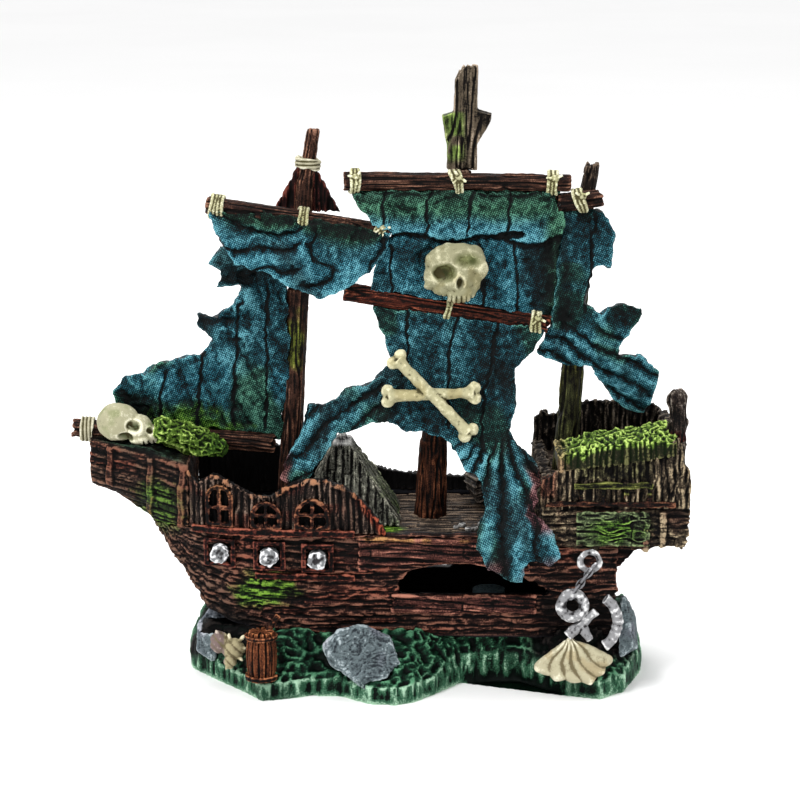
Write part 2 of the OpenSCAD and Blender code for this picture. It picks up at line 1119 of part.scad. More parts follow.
base();
rock_front();
side_rocks();
conch_shell();
scallop_shell();
barrel();
barrel_hoops();
barrel_stave();
hawse_ring();
anchor_chain();
anchor_ring();
anchor_stock();
anchor_arms();
lower_hull();
beak();
bulwark_near();
bulwark_far();
main_deck();
waist_strake();
wales();
window_frames();
gunport_frames();
cannons();
castle_side_near();
castle_side_far();
transom();
castle_front();
poop_deck();
stern_counter();
stern_roof();
stern_door();
castle_rails();
taffrail_post();
deckhouse();
deck_barrel();
silver_coins();
fore_mast();
shroud_plate();
spar_bands();
main_mast();
main_top();
mizzen_mast();
bowsprit();
fore_yard();
topsail_yard();
main_yard();
mizzen_yard();
fore_course();
jib();
main_topsail();
main_course();
mizzen_sail();
yard_lashings();
skull_emblem();
crossbones();
figurehead_skull();
moss_bow();
air_inlet();
air_tube();
air_stone();
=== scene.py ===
"""Looks of the galleon wreck ornament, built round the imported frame.

Shapes are worked out in mm, and turned into metres when a mesh is made.
X runs from bow (-) to stern (+), -Y is the front, +Z is up.
"""

import math

import bmesh
import bpy
import numpy as np
from mathutils import Matrix, Vector


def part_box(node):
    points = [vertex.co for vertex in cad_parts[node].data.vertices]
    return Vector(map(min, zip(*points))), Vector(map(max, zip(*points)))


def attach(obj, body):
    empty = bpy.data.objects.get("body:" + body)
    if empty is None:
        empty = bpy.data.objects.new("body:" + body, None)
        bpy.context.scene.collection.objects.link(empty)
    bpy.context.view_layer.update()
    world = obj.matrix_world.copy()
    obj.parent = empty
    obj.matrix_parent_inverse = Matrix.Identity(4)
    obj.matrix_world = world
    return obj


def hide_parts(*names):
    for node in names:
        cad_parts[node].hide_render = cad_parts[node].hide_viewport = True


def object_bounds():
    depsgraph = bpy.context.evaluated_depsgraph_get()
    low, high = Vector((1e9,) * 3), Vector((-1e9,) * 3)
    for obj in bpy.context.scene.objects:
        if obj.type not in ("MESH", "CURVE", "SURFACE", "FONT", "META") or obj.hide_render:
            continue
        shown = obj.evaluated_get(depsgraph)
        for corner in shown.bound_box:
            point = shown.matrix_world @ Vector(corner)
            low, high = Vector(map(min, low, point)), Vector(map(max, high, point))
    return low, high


MM = 0.001
COARSE = 1.0

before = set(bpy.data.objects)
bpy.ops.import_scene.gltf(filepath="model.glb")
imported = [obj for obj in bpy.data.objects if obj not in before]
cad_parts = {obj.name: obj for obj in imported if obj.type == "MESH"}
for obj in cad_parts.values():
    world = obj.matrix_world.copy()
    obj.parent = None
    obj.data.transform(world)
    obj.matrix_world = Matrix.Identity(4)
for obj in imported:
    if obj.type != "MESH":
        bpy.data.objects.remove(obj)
cad_bounds = [list(corner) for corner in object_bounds()]
BOX_LOW, BOX_HIGH = (np.array(corner) / MM for corner in cad_bounds)


# ---- Noise and small sums ----


def hashed(*whole, seed=0):
    """A repeatable number from 0 to 1 for each set of whole numbers."""
    mix = np.full(np.shape(whole[0]), seed * 7919 + 12345, np.uint64)
    for part in whole:
        mix = (mix ^ np.asarray(part).astype(np.int64).astype(np.uint64)) * np.uint64(0x9E3779B97F4A7C15)
        mix = mix ^ (mix >> np.uint64(29))
    return (mix >> np.uint64(20)).astype(float) % 65521 / 65520


def lattice(q, seed):
    """One octave of smooth noise from -1 to 1, on cells of size 1."""
    cell = np.floor(q)
    f = q - cell
    f = f * f * (3 - 2 * f)
    total = np.zeros(len(q))
    for corner in np.ndindex(2, 2, 2):
        weight = np.ones(len(q))
        for k in range(3):
            weight = weight * (f[:, k] if corner[k] else 1 - f[:, k])
        total += weight * hashed(*(cell + corner).T, seed=seed)
    return total * 2 - 1


def noise(p, size, seed=0, octaves=1):
    """Smooth noise from -1 to 1; size is one length in mm, or one for each axis."""
    q = p / np.asarray(size, float)
    total, gain, reach = 0.0, 1.0, 0.0
    for octave in range(octaves):
        total = total + gain * lattice(q, seed * 31 + octave)
        reach += gain
        q, gain = q * 2.1 + 5.3, gain * 0.5
    return total / reach


def ridged(p, size, seed=0):
    """Noise with rounded worm-like ridges, from 0 to 1."""
    bend = np.stack([noise(p, np.asarray(size) * 1.6, seed + k) for k in (1, 2, 3)], 1)
    return 1 - np.abs(noise(p + bend * np.mean(size) * 0.6, size, seed)) * 2


def step(value, low, high):
    """Rises smoothly from 0 to 1 between two values, or falls if the first is the larger."""
    t = np.clip((value - low) / (high - low), 0, 1)
    return t * t * (3 - 2 * t)


def lerp(a, b, t):
    """Goes from a to b as t goes from 0 to 1; t may be a mask for rows of points or colours."""
    t = np.asarray(t)
    return a + (np.asarray(b) - a) * (t[:, None] if np.ndim(a) == 2 and t.ndim == 1 else t)


# Share of the light that the paint returns, beside paper that counts as white
PAINT = 0.62
# How much more of it the dry-brushed ridges return
BRUSH = 1.5


def rgb(red, green, blue):
    """A paint colour as seen on a screen, turned into the linear values that a shader takes."""
    c = np.array([red, green, blue]) / 255
    return PAINT * np.where(c <= 0.04045, c / 12.92, ((c + 0.055) / 1.055) ** 2.4)


def spot(s, x, z, wide, high):
    """Mask of an uneven patch about (x, z) on the front or back of a piece."""
    away = np.hypot((s.p[:, 0] - x) / wide, (s.p[:, 2] - z) / high)
    return step(1.15 - away + 0.45 * noise(s.p, 2.2, 5, 2), 0, 0.6)


# ---- The hull's form, as in the CAD ----

KEEL = np.array([
    [-80, 53], [-76.5, 52.5], [-65.5, 48], [-63, 44.5], [-59, 37], [-55, 32], [-52, 24.5],
    [-47.5, 20], [-41, 16.5], [-32, 14.5], [-20, 13.5], [70, 12.5],
])
PLAN = np.array([
    [-80, 0.26], [-70, 0.42], [-60, 0.58], [-50, 0.76], [-40, 0.88], [-25, 0.96], [-5, 1], [45, 1], [70, 0.9],
])
HALF_BEAM = 27
DECK_EDGE = 44
RAIL = np.array([
    [-52, 60], [-49.5, 56.5], [-45, 59.5], [-39, 57], [-33.5, 54], [-29.5, 54], [-24, 57.5],
    [-21.5, 58.5], [-15, 59], [-9.5, 57], [-5.5, 54], [-1.5, 49], [1.5, 44],
])
WINDOWS = [(-43.3, 7.5, 11.5), (-30.7, 8.5, 7.5), (-18.3, 9.4, 8.5)]
WINDOW_Z = 45.5
GUNS = [(-43.5, 37.8), (-30, 37.5), (-17, 37)]


def keel(x):
    """Height of the hull's underside."""
    return np.interp(x, *KEEL.T)


def side(x, z):
    """Half the width of the hull's outer skin."""
    rise = np.clip((z - keel(x)) / (DECK_EDGE - keel(x) + 12), 0, 1)
    return HALF_BEAM * np.interp(x, *PLAN.T) * (0.68 + 0.32 * np.sin(np.pi / 2 * rise))


# ---- Shaping a piece ----


def node_mesh(node):
    """A CAD node's mesh as a bmesh in mm."""
    bm = bmesh.new()
    bm.from_mesh(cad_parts[node].data)
    bmesh.ops.scale(bm, vec=(1 / MM,) * 3, verts=bm.verts)
    bmesh.ops.remove_doubles(bm, verts=bm.verts, dist=1e-4)
    return bm


def remeshed(bm, voxel):
    """The closed forms of a bmesh, joined and meshed evenly."""
    mesh = bpy.data.meshes.new("rough")
    bm.to_mesh(mesh)
    bm.free()
    obj = bpy.data.objects.new("rough", mesh)
    bpy.context.scene.collection.objects.link(obj)
    modifier = obj.modifiers.new("Remesh", "REMESH")
    modifier.mode = "VOXEL"
    modifier.voxel_size = voxel * COARSE
    graph = bpy.context.evaluated_depsgraph_get()
    fine = bpy.data.meshes.new_from_object(obj.evaluated_get(graph))
    bpy.data.objects.remove(obj)
    bpy.data.meshes.remove(mesh)
    return fine


class Sculpt:
    """An even mesh to be shaped and painted. p holds its points, n their normals."""

    def __init__(self, name, bm, voxel):
        self.name = name
        self.mesh = remeshed(bm, voxel)
        count = len(self.mesh.vertices)
        self.p = np.empty(count * 3)
        self.mesh.vertices.foreach_get("co", self.p)
        self.p = self.p.reshape(-1, 3)
        self.edges = np.empty(len(self.mesh.edges) * 2, int)
        self.mesh.edges.foreach_get("vertices", self.edges)
        self.edges = self.edges.reshape(-1, 2)
        self.find_normals()
        self.start = self.p.copy()
        self.grain = self.p.copy()

    def find_normals(self):
        self.mesh.vertices.foreach_set("co", self.p.ravel())
        self.mesh.update()
        n = np.empty(len(self.p) * 3)
        self.mesh.vertex_normals.foreach_get("vector", n)
        self.n = n.reshape(-1, 3)

    def push(self, height):
        """Moves the surface outwards by height."""
        self.p = self.p + self.n * np.asarray(height)[:, None]
        self.find_normals()

    def shift(self, direction, amount):
        self.p = self.p + np.asarray(direction, float) * np.asarray(amount)[:, None]
        self.find_normals()

    def warp(self, amount, size, seed=70):
        """Bends the whole piece by smooth noise, so that straight outlines become ragged."""
        self.p = self.p + amount * np.stack([noise(self.p, size, seed + k, 2) for k in range(3)], 1)
        self.find_normals()

    def smoothed(self, rounds):
        """The points after some rounds of moving each one towards its neighbours."""
        a, b = self.edges.T
        count = len(self.p)
        degree = np.bincount(self.edges.ravel(), minlength=count)[:, None]
        q = self.p
        for _ in range(rounds):
            total = [np.bincount(a, q[b, k], count) + np.bincount(b, q[a, k], count) for k in range(3)]
            q = 0.4 * q + 0.6 * np.stack(total, 1) / degree
        return q

    def coat(self, base, tip, fine=0.13, broad=0.16, lift=0.0):
        """Gives the first two colours, and measures the relief from 0 in the recesses to 1 on the ridges."""
        near = ((self.p - self.smoothed(3)) * self.n).sum(1)
        wide = ((self.p - self.smoothed(16)) * self.n).sum(1)
        near, wide = ((d - np.median(d)) / (d.std() + 1e-6) for d in (near, wide))
        self.relief = 0.5 + fine * near + broad * wide + lift
        self.base, self.tip = (np.tile(rgb(*colour), (len(self.p), 1)) for colour in (base, tip))

    def daub(self, mask, base, tip):
        """Paints over part of the piece."""
        self.base = lerp(self.base, rgb(*base), mask)
        self.tip = lerp(self.tip, rgb(*tip), mask)

    def finish(self, material, nodes, slot):
        self.p = np.clip(self.p, BOX_LOW, BOX_HIGH)
        mesh = self.mesh
        mesh.vertices.foreach_set("co", (self.p * MM).ravel())
        opaque = np.ones(len(self.p))
        brushed = np.clip(self.tip * BRUSH, 0, 1)
        for key, kind, field, values in (
            ("relief", "FLOAT", "value", np.clip(self.relief, 0, 1)),
            ("grain", "FLOAT_VECTOR", "vector", self.grain.ravel()),
            ("paint", "FLOAT_COLOR", "color", np.c_[self.base, opaque].ravel()),
            ("tip", "FLOAT_COLOR", "color", np.c_[brushed, opaque].ravel()),
        ):
            mesh.attributes.new(key, kind, "POINT").data.foreach_set(field, values.astype(np.float32))
        mesh.polygons.foreach_set("use_smooth", np.ones(len(mesh.polygons), bool))
        mesh.update()
        obj = bpy.data.objects.new(self.name, mesh)
        bpy.context.scene.collection.objects.link(obj)
        mesh.materials.append(material)
        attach(obj, "root")
        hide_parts(*nodes)
        return obj


def copied(node, voxel):
    return Sculpt(node + "_look", node_mesh(node), voxel)


# ---- Surface patterns ----


def boards(along, across, pitch, seed, gap=0.5, length=20.0):
    """Height of rough boards of uneven width that run one way and lie side by side the other way."""
    flat = np.stack([along / 9, across / 5, np.zeros(len(along))], 1)
    uneven = np.stack([np.zeros(len(along)), across / (1.7 * pitch), np.zeros(len(along))], 1)
    place = (across + 0.5 * noise(flat, 1, seed) + 0.45 * pitch * noise(uneven, 1, seed + 9)) / pitch
    row = np.floor(place)
    part = place - row
    seam = np.minimum(part, 1 - part) * pitch
    run = along / length + hashed(row, seed=seed)
    piece = np.floor(run)
    butt = np.minimum(run - piece, piece + 1 - run) * length
    groove_width = 0.3
    groove = np.maximum(np.exp(-((seam / groove_width) ** 2)), 0.5 * np.exp(-((butt / groove_width) ** 2)))
    lift = 0.45 * (hashed(row, piece, seed=seed + 1) - 0.5)
    streaks = np.stack([along / 7, across / 0.8, row * 3.7], 1)
    crack = np.clip(1 - np.abs(noise(streaks * [0.8, 0.7, 1], 1, seed + 5)) / 0.14, 0, 1)
    return lift - gap * groove + 0.2 * noise(streaks, 1, seed + 2, 2) - 0.3 * crack


def around(s, line):
    """Distance along a line, angle about it and distance from it, for each point."""
    line = np.asarray(line, float)
    main = int(np.argmax(np.abs(line[-1] - line[0])))
    order = np.argsort(line[:, main])
    others = [k for k in range(3) if k != main]
    off = [s.p[:, k] - np.interp(s.p[:, main], line[order, main], line[order, k]) for k in others]
    return s.p[:, main], np.arctan2(off[1], off[0]), np.hypot(*off)


def bark(s, line, depth, seed):
    """Deep grain along a mast or yard."""
    along, angle, radius = around(s, line)
    ring = np.stack([np.cos(angle) * 2.4, np.sin(angle) * 2.4, along / 13], 1)
    split = np.clip(1 - np.abs(noise(ring, 1, seed)) / 0.2, 0, 1)
    fine = noise(ring * [2.3, 2.3, 1.5], 1, seed + 4, 2)
    s.grain = np.stack([along, angle * radius, radius], 1)
    s.push(0.22 * fine * depth / 0.5 - depth * split + 0.1 * noise(s.p, 1.4, seed))


def ragged_end(s, axis, at, reach, depth, seed=9):
    """Splinters the end of a piece that lies towards the given value on an axis."""
    near = step(reach - np.abs(s.p[:, axis] - at), 0, reach)
    across = s.p.copy()
    across[:, axis] *= 0.15
    cut = depth * np.clip(0.4 + noise(across, 1.3, seed), 0, 1.3) * near
    direction = np.zeros(3)
    direction[axis] = -1 if s.p[:, axis].mean() < at else 1
    s.shift(direction, cut)


def pitted(s, amount, size, seed=2):
    """Makes the surface uneven."""
    s.push(amount * noise(s.p, size, seed, 2))


# ---- Materials ----


class Nodes:
    """A small helper for making and joining shader nodes."""

    def __init__(self, name):
        self.material = bpy.data.materials.new(name)
        self.material.use_nodes = True
        self.tree = self.material.node_tree
        self.shader = self.tree.nodes["Principled BSDF"]

    def add(self, kind, inputs=(), **settings):
        node = self.tree.nodes.new(kind)
        for key, value in settings.items():
            setattr(node, key, value)
        for key, value in dict(inputs).items():
            self.put(node.inputs[key], value)
        return node

    def put(self, socket, value):
        if isinstance(value, bpy.types.NodeSocket):
            self.tree.links.new(value, socket)
        else:
            socket.default_value = value

    def math(self, operation, a, b=0.0):
        return self.add("ShaderNodeMath", {0: a, 1: b}, operation=operation).outputs[0]

    def ramp(self, value, low, high, to_low=0.0, to_high=1.0):
        limits = {"Value": value, "From Min": low, "From Max": high, "To Min": to_low, "To Max": to_high}
        return self.add("ShaderNodeMapRange", limits, interpolation_type="SMOOTHSTEP").outputs[0]

    def mix(self, share, a, b):
        node = self.add("ShaderNodeMix", data_type="RGBA")
        for key, value in ((0, share), (6, a), (7, b)):
            self.put(node.inputs[key], value)
        return node.outputs[2]

    def swung(self, level, cloud, amount):
        """Adds noise to a level; amount is about how far it usually swings either way."""
        swing = self.math("MULTIPLY", self.math("SUBTRACT", cloud, 0.5), amount * NOISE_GAIN)
        return self.math("ADD", level, swing)

    def attribute(self, name, output):
        return self.add("ShaderNodeAttribute", attribute_name=name).outputs[output]

    def noise(self, vector, scale, detail=3.0, roughness=0.6):
        inputs = {"Vector": vector, "Scale": scale, "Detail": detail, "Roughness": roughness}
        return self.add("ShaderNodeTexNoise", inputs).outputs[0]

    def woven(self, place, period):
        """A weave of small humps, from -1 to 1, bent a little so that it doesn't look printed."""
        bend = self.add("ShaderNodeTexNoise", {"Vector": place, "Scale": 0.35}).outputs["Color"]
        bent = self.add("ShaderNodeVectorMath", {0: place, 1: bend}, operation="ADD").outputs[0]
        parts = self.add("ShaderNodeSeparateXYZ", {0: bent}).outputs
        waves = [self.math("SINE", self.math("MULTIPLY", part, 2 * math.pi / period)) for part in parts[:2]]
        return self.math("MULTIPLY", *waves)

    def stretched(self, vector, scale):
        return self.add("ShaderNodeMapping", {"Vector": vector, "Scale": scale}).outputs[0]


# Share of the usual mirror-like reflection that the matt paint keeps
SHEEN = 0.06
# The noise texture seldom strays more than a tenth or so from its middle
NOISE_GAIN = 8.0
# Distance between the threads of the sailcloth, in mm
WEAVE = 0.8


def solid(colour):
    return (*colour, 1.0)


def painted(name, wash, streak=0.0, speckle=0.16, grit=2.8, blotch=0.08, weave=0.0, gloss=0.42, bump=0.35,
            metal=0.0, dark=(0.32, 0.62), light=(0.66, 1.0)):
    """Hand-painted resin: a dark wash in the recesses and a dry-brushed light colour on the ridges."""
    n = Nodes(name)
    grain = n.attribute("grain", "Vector")
    level = n.attribute("relief", "Fac")
    if streak:
        lines = n.noise(n.stretched(grain, (0.16, 1.9, 1.9)), 1.0, 4.0, 0.65)
        level = n.swung(level, lines, streak)
    if weave:
        level = n.math("ADD", level, n.math("MULTIPLY", n.woven(grain, WEAVE), weave))
    level = n.swung(level, n.noise(grain, grit, 3.0, 0.75), speckle)
    level = n.swung(level, n.noise(grain, 0.16, 2.0, 0.5), blotch)
    colour = n.mix(n.ramp(level, *dark), solid(rgb(*wash)), n.attribute("paint", "Color"))
    colour = n.mix(n.ramp(level, *light), colour, n.attribute("tip", "Color"))
    shader = n.shader
    n.put(shader.inputs["Base Color"], colour)
    n.put(shader.inputs["Roughness"], n.ramp(level, 0.0, 1.0, gloss, gloss + 0.25))
    shader.inputs["Metallic"].default_value = metal
    shader.inputs["Specular IOR Level"].default_value = SHEEN
    dent = {"Height": level, "Strength": bump, "Distance": 0.3 * MM}
    n.put(shader.inputs["Normal"], n.add("ShaderNodeBump", dent).outputs[0])
    return n.material


def plain(name, low, high, roughness, size=900.0, clear=0.0, pores=False):
    """Plain moulded material for CAD nodes that keep their shape."""
    n = Nodes(name)
    place = n.add("ShaderNodeTexCoord").outputs["Object"]
    cloud = n.noise(place, size)
    if pores:
        cells = n.add("ShaderNodeTexVoronoi", {"Vector": place, "Scale": size * 1.6}).outputs["Distance"]
        cloud = n.math("MULTIPLY", cloud, n.ramp(cells, 0.05, 0.45, 0.2, 1.3))
    n.put(n.shader.inputs["Base Color"], n.mix(n.ramp(cloud, 0.3, 0.7), solid(low), solid(high)))
    n.put(n.shader.inputs["Roughness"], n.ramp(cloud, 0.2, 0.8, roughness - 0.06, roughness + 0.06))
    n.shader.inputs["Transmission Weight"].default_value = clear
    dent = {"Height": cloud, "Strength": 0.5 if pores else 0.08, "Distance": 0.2 * MM}
    n.put(n.shader.inputs["Normal"], n.add("ShaderNodeBump", dent).outputs[0])
    return n.material


BLACK = (7, 6, 7)
HULL_RED, HULL_EDGE = (58, 36, 32), (150, 102, 84)
# Painted shade: near-black for the insides of the hull, its openings and the ground under it
SHADE_BLACK, SHADE_EDGE = (14, 12, 13), (40, 36, 34)
MOSS, MOSS_EDGE = (48, 78, 30), (132, 176, 66)
LIME, LIME_EDGE = (94, 126, 46), (188, 216, 114)
TEAL, TEAL_EDGE = (26, 77, 90), (98, 160, 172)
SEA_GREEN, SEA_EDGE = (24, 58, 46), (84, 136, 110)

WOOD = painted("hull_wood", (11, 9, 9), streak=0.13, speckle=0.17, bump=0.6)
SPAR = painted("spar_wood", (13, 10, 9), streak=0.13, speckle=0.13, bump=0.5)
CANVAS = painted("sail_canvas", (12, 15, 15), weave=0.3, speckle=0.13, grit=1.5,
                 blotch=0.05, gloss=0.4, bump=0.5)
TURF = painted("base_moss", (5, 14, 10), speckle=0.16, gloss=0.4, bump=0.5)
FLUFF = painted("lime_moss", (20, 32, 12), speckle=0.2, grit=1.8, gloss=0.5, bump=0.6, dark=(0.26, 0.56))
ROCK = painted("stone", (50, 56, 62), speckle=0.17, gloss=0.5, bump=0.5, dark=(0.1, 0.55))
# Less wash and more brush, for the pale pieces
PALE = {"dark": (0.12, 0.5), "light": (0.6, 1.0)}
SHELL = painted("shell", (134, 122, 92), speckle=0.1, gloss=0.42, bump=0.3, **PALE)
BONE = painted("bone", (76, 70, 42), speckle=0.1, gloss=0.45, bump=0.3, **PALE)
SILVER = painted("silver_paint", (60, 58, 60), speckle=0.1, gloss=0.32, bump=0.4,
                 metal=0.15, dark=(0.12, 0.46))
ROPE = painted("rope", (88, 82, 52), speckle=0.1, gloss=0.55, bump=0.3, dark=(0.15, 0.5), light=(0.6, 1.0))


# ---- Base, stones and shells ----


def make_base():
    s = copied("base", 0.7)
    z = s.p[:, 2]
    rim = step(0.75 - s.n[:, 2], 0, 0.4) * step(10 - z, 0, 3)
    free = step(z, 0.3, 2.2) * step(np.abs(s.n[:, 2] + 1), 0.2, 0.6)
    tufts = 0.8 * ridged(s.p, 2.5, 4) + 0.45 * ridged(s.p, 1.4, 7) + 0.5 * noise(s.p, 6, 8)
    blades = 0.65 * noise(s.p, (1.5, 1.5, 9), 11) + 0.3 * ridged(s.p, (1.2, 1.2, 6), 12)
    s.push(free * lerp(tufts - 0.9, blades - 0.3, rim))
    s.coat((24, 64, 44), (92, 148, 112))
    s.daub(rim, (64, 116, 86), (176, 214, 184))
    s.daub(0.6 * step(noise(s.p, 9, 3), 0, 0.6), (12, 38, 28), (46, 92, 68))
    x, y = s.p[:, 0], s.p[:, 1]
    # Painted shade: near-black on the base where it lies under the overhanging stern and bow
    painted_shade = np.maximum(
        step(x, 38, 43) * step(z + y * 0.35, -2.5, 2) * step(72 - x, 0, 5),
        step(-29 - x, 0, 4) * step(z + y * 0.4, -1.0, 2.5),
    )
    s.daub(painted_shade * step(-y, -8, 2), BLACK, SHADE_EDGE)
    s.finish(TURF, ["base"], "mossy_base")


def make_rocks():
    for node in ("rock_front", "side_rocks"):
        s = copied(node, 0.4)
        chips = np.round(noise(s.p, 3.4, 6) * 3) / 3
        s.push(0.45 * chips + 0.25 * noise(s.p, 1.4, 8, 2) - 0.15)
        s.coat((116, 130, 134), (178, 190, 194))
        s.daub(step(noise(s.p, 5, 4), 0.05, 0.4), (126, 132, 142), (190, 194, 202))
        s.daub(0.8 * step(7.5 - s.p[:, 2], 0, 3), (44, 62, 58), (110, 130, 124))
        s.finish(ROCK, [node], "stone_grey")


def make_scallop():
    s = copied("scallop_shell", 0.3)
    x, _, z = s.p.T
    hinge_x, hinge_z = 50.5, 16.5
    turn = np.arctan2(x - hinge_x, hinge_z - z)
    bent = turn + 0.1 * np.sin((z - 8) * 0.6)
    ribs = np.abs(np.cos(bent * 8.5))
    growth = 0.5 * step(noise(s.p, 4, 2), 0.2, 0.8) * step(9 - z, 0, 2)
    s.push(0.55 * ribs - 0.35 + growth + 0.1 * noise(s.p, 1, 5))
    s.coat((218, 210, 176), (246, 240, 214), 0.08, 0.16)
    s.daub(0.4 * step(noise(s.p, 3, 9), 0.2, 0.6), (176, 146, 92), (222, 200, 150))
    s.finish(SHELL, ["scallop_shell"], "shell_cream")


def add_ball(bm, centre, radii, turn=None):
    """A squashed ball, to be joined to others by remeshing."""
    matrix = Matrix.Translation(Vector(centre)) @ (turn or Matrix.Identity(4)) @ Matrix.Diagonal((*radii, 1))
    bmesh.ops.create_icosphere(bm, subdivisions=3, radius=1, matrix=matrix)


def add_spike(bm, foot, point, radius, tip=0.15):
    line = Vector(point) - Vector(foot)
    turn = line.to_track_quat("Z", "Y").to_matrix().to_4x4()
    middle = Matrix.Translation((Vector(foot) + Vector(point)) / 2)
    bmesh.ops.create_cone(
        bm, cap_ends=True, segments=12, radius1=radius, radius2=tip, depth=line.length, matrix=middle @ turn
    )


def make_conch():
    bm = bmesh.new()
    add_ball(bm, (-43.6, -23.4, 13.2), (2.7, 2.4, 3.1))
    add_ball(bm, (-40.0, -24.2, 11.4), (3.2, 2.3, 3.0))
    add_ball(bm, (-40.8, -25.0, 8.4), (1.7, 1.6, 2.2))
    for foot, point in (
        ((-39, -24.4, 13), (-36.6, -24.4, 15.6)), ((-38.4, -24.6, 11.6), (-35.8, -25.4, 12.4)),
        ((-41, -24.6, 13.4), (-41, -25.4, 16.2)), ((-39, -25, 9.6), (-37.4, -26.2, 8.8)),
        ((-43.4, -24, 15), (-44.6, -24.6, 16.8)), ((-41, -25.2, 8), (-42.2, -26.2, 6.0)),
    ):
        add_spike(bm, foot, point, 0.95)
    s = Sculpt("conch_shell_look", bm, 0.24)
    whorl = np.abs(np.sin((s.p[:, 0] + s.p[:, 2]) * 1.05))
    s.push(0.3 * whorl - 0.15 + 0.12 * noise(s.p, 1, 3, 2))
    s.coat((198, 186, 146), (232, 224, 192), 0.08, 0.16)
    s.daub(step(-41.9 - s.p[:, 0], 0, 0.8), (142, 122, 118), (206, 192, 178))
    s.finish(SHELL, ["conch_shell"], "shell_cream")


def make_barrel():
    middle, radius, staves, stave_width = (-32, -31), 4, 13, 1.9
    for node in ("barrel", "barrel_hoops", "barrel_stave"):
        s = copied(node, 0.24)
        turn = np.arctan2(s.p[:, 1] - middle[1], s.p[:, 0] - middle[0])
        s.grain = np.stack([s.p[:, 2], turn * radius, s.p[:, 0] * 0.1], 1)
        if node == "barrel":
            place = (turn + np.pi) / (2 * np.pi) * staves
            seam = np.abs(place - np.round(place)) * stave_width
            s.push(0.14 - 0.45 * np.exp(-((seam / 0.26) ** 2)) + 0.1 * noise(s.grain, (5, 0.6, 1), 3, 2))
            s.coat((125, 70, 44), (208, 135, 88))
        else:
            pitted(s, 0.12, 0.8)
            s.coat((104, 60, 42), (195, 127, 86))
        s.finish(WOOD, [node], "cask_brown")


# ---- Anchor ----


def make_anchor():
    for node in ("hawse_ring", "anchor_ring", "anchor_stock", "anchor_arms"):
        s = copied(node, 0.26)
        if node == "anchor_arms":
            crown_x, crown_z = 55.5, 20.5
            turn = np.arctan2(s.p[:, 2] - crown_z, s.p[:, 0] - crown_x)
            s.push(0.05 * np.sin(turn * 30) * step(s.p[:, 0], 60, 64))
        pitted(s, 0.3, 1.9)
        s.coat((172, 172, 174), (232, 232, 232), 0.1, 0.16, lift=0.08)
        s.finish(SILVER, [node], "silver_paint")


def add_loop(bm, rounds, sides, place):
    """A closed tube; place gives a point from its angles round the loop and round the tube."""
    rows = [
        [bm.verts.new(place(2 * math.pi * i / rounds, 2 * math.pi * j / sides)) for j in range(sides)]
        for i in range(rounds)
    ]
    for i in range(rounds):
        for j in range(sides):
            a, b = rows[i], rows[(i + 1) % rounds]
            bm.faces.new((a[j], b[j], b[(j + 1) % sides], a[(j + 1) % sides]))


def add_link(bm, centre, direction, spin):
    """One oval chain link."""
    turn = Vector(direction).to_track_quat("X", "Z").to_matrix().to_4x4() @ Matrix.Rotation(spin, 4, "X")
    major, minor, longer, narrower = 0.95, 0.36, 1.35, 0.85

    def place(a, b):
        r = major + minor * math.cos(b)
        at = Vector((longer * r * math.cos(a), narrower * r * math.sin(a), minor * math.sin(b)))
        return Vector(centre) + turn @ at

    add_loop(bm, 20, 8, place)


def make_chain():
    low, high = (np.array(c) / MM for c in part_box("anchor_chain"))
    middle, inset_x, inset_z, links = (low[1] + high[1]) / 2, 0.6, 0.8, 6
    top = np.array([high[0] - inset_x, middle, high[2] - inset_z])
    foot = np.array([low[0] + inset_x, middle, low[2] + inset_z])
    bm = bmesh.new()
    for i in range(links):
        add_link(bm, top + (foot - top) * i / (links - 1), foot - top, i * math.pi / 2 + 0.4)
    bmesh.ops.recalc_face_normals(bm, faces=bm.faces)
    s = Sculpt("anchor_chain_look", bm, 0.16)
    pitted(s, 0.08, 0.7)
    s.coat((150, 150, 154), (236, 236, 238))
    s.finish(SILVER, ["anchor_chain"], "silver_paint")


# ---- Hull ----


def hull_rows(x, z):
    """Height up the side in mm, drawn so that the boards run together at the bow."""
    low, full_side, least_side = keel(x), 31, 9
    rising = (z - low) / np.maximum(DECK_EDGE - low, least_side) * full_side
    return np.where(z < DECK_EDGE, rising, full_side + z - DECK_EDGE)


def weather(s):
    """Uneven colour and the painted moss that runs across several hull pieces."""
    s.daub(0.7 * step(noise(s.p, 8, 21, 2), 0.0, 0.45), (30, 22, 20), (98, 72, 60))
    s.daub(0.55 * step(noise(s.p, (12, 8, 3), 23, 2), 0.15, 0.5), (74, 36, 31), (158, 88, 68))
    front = step(-s.p[:, 1], 2, 6)
    s.daub(front * spot(s, -60.5, 49, 7.5, 8.5), (42, 60, 28), (98, 128, 54))
    s.daub(front * spot(s, -32, 27, 9, 5.5), MOSS, MOSS_EDGE)


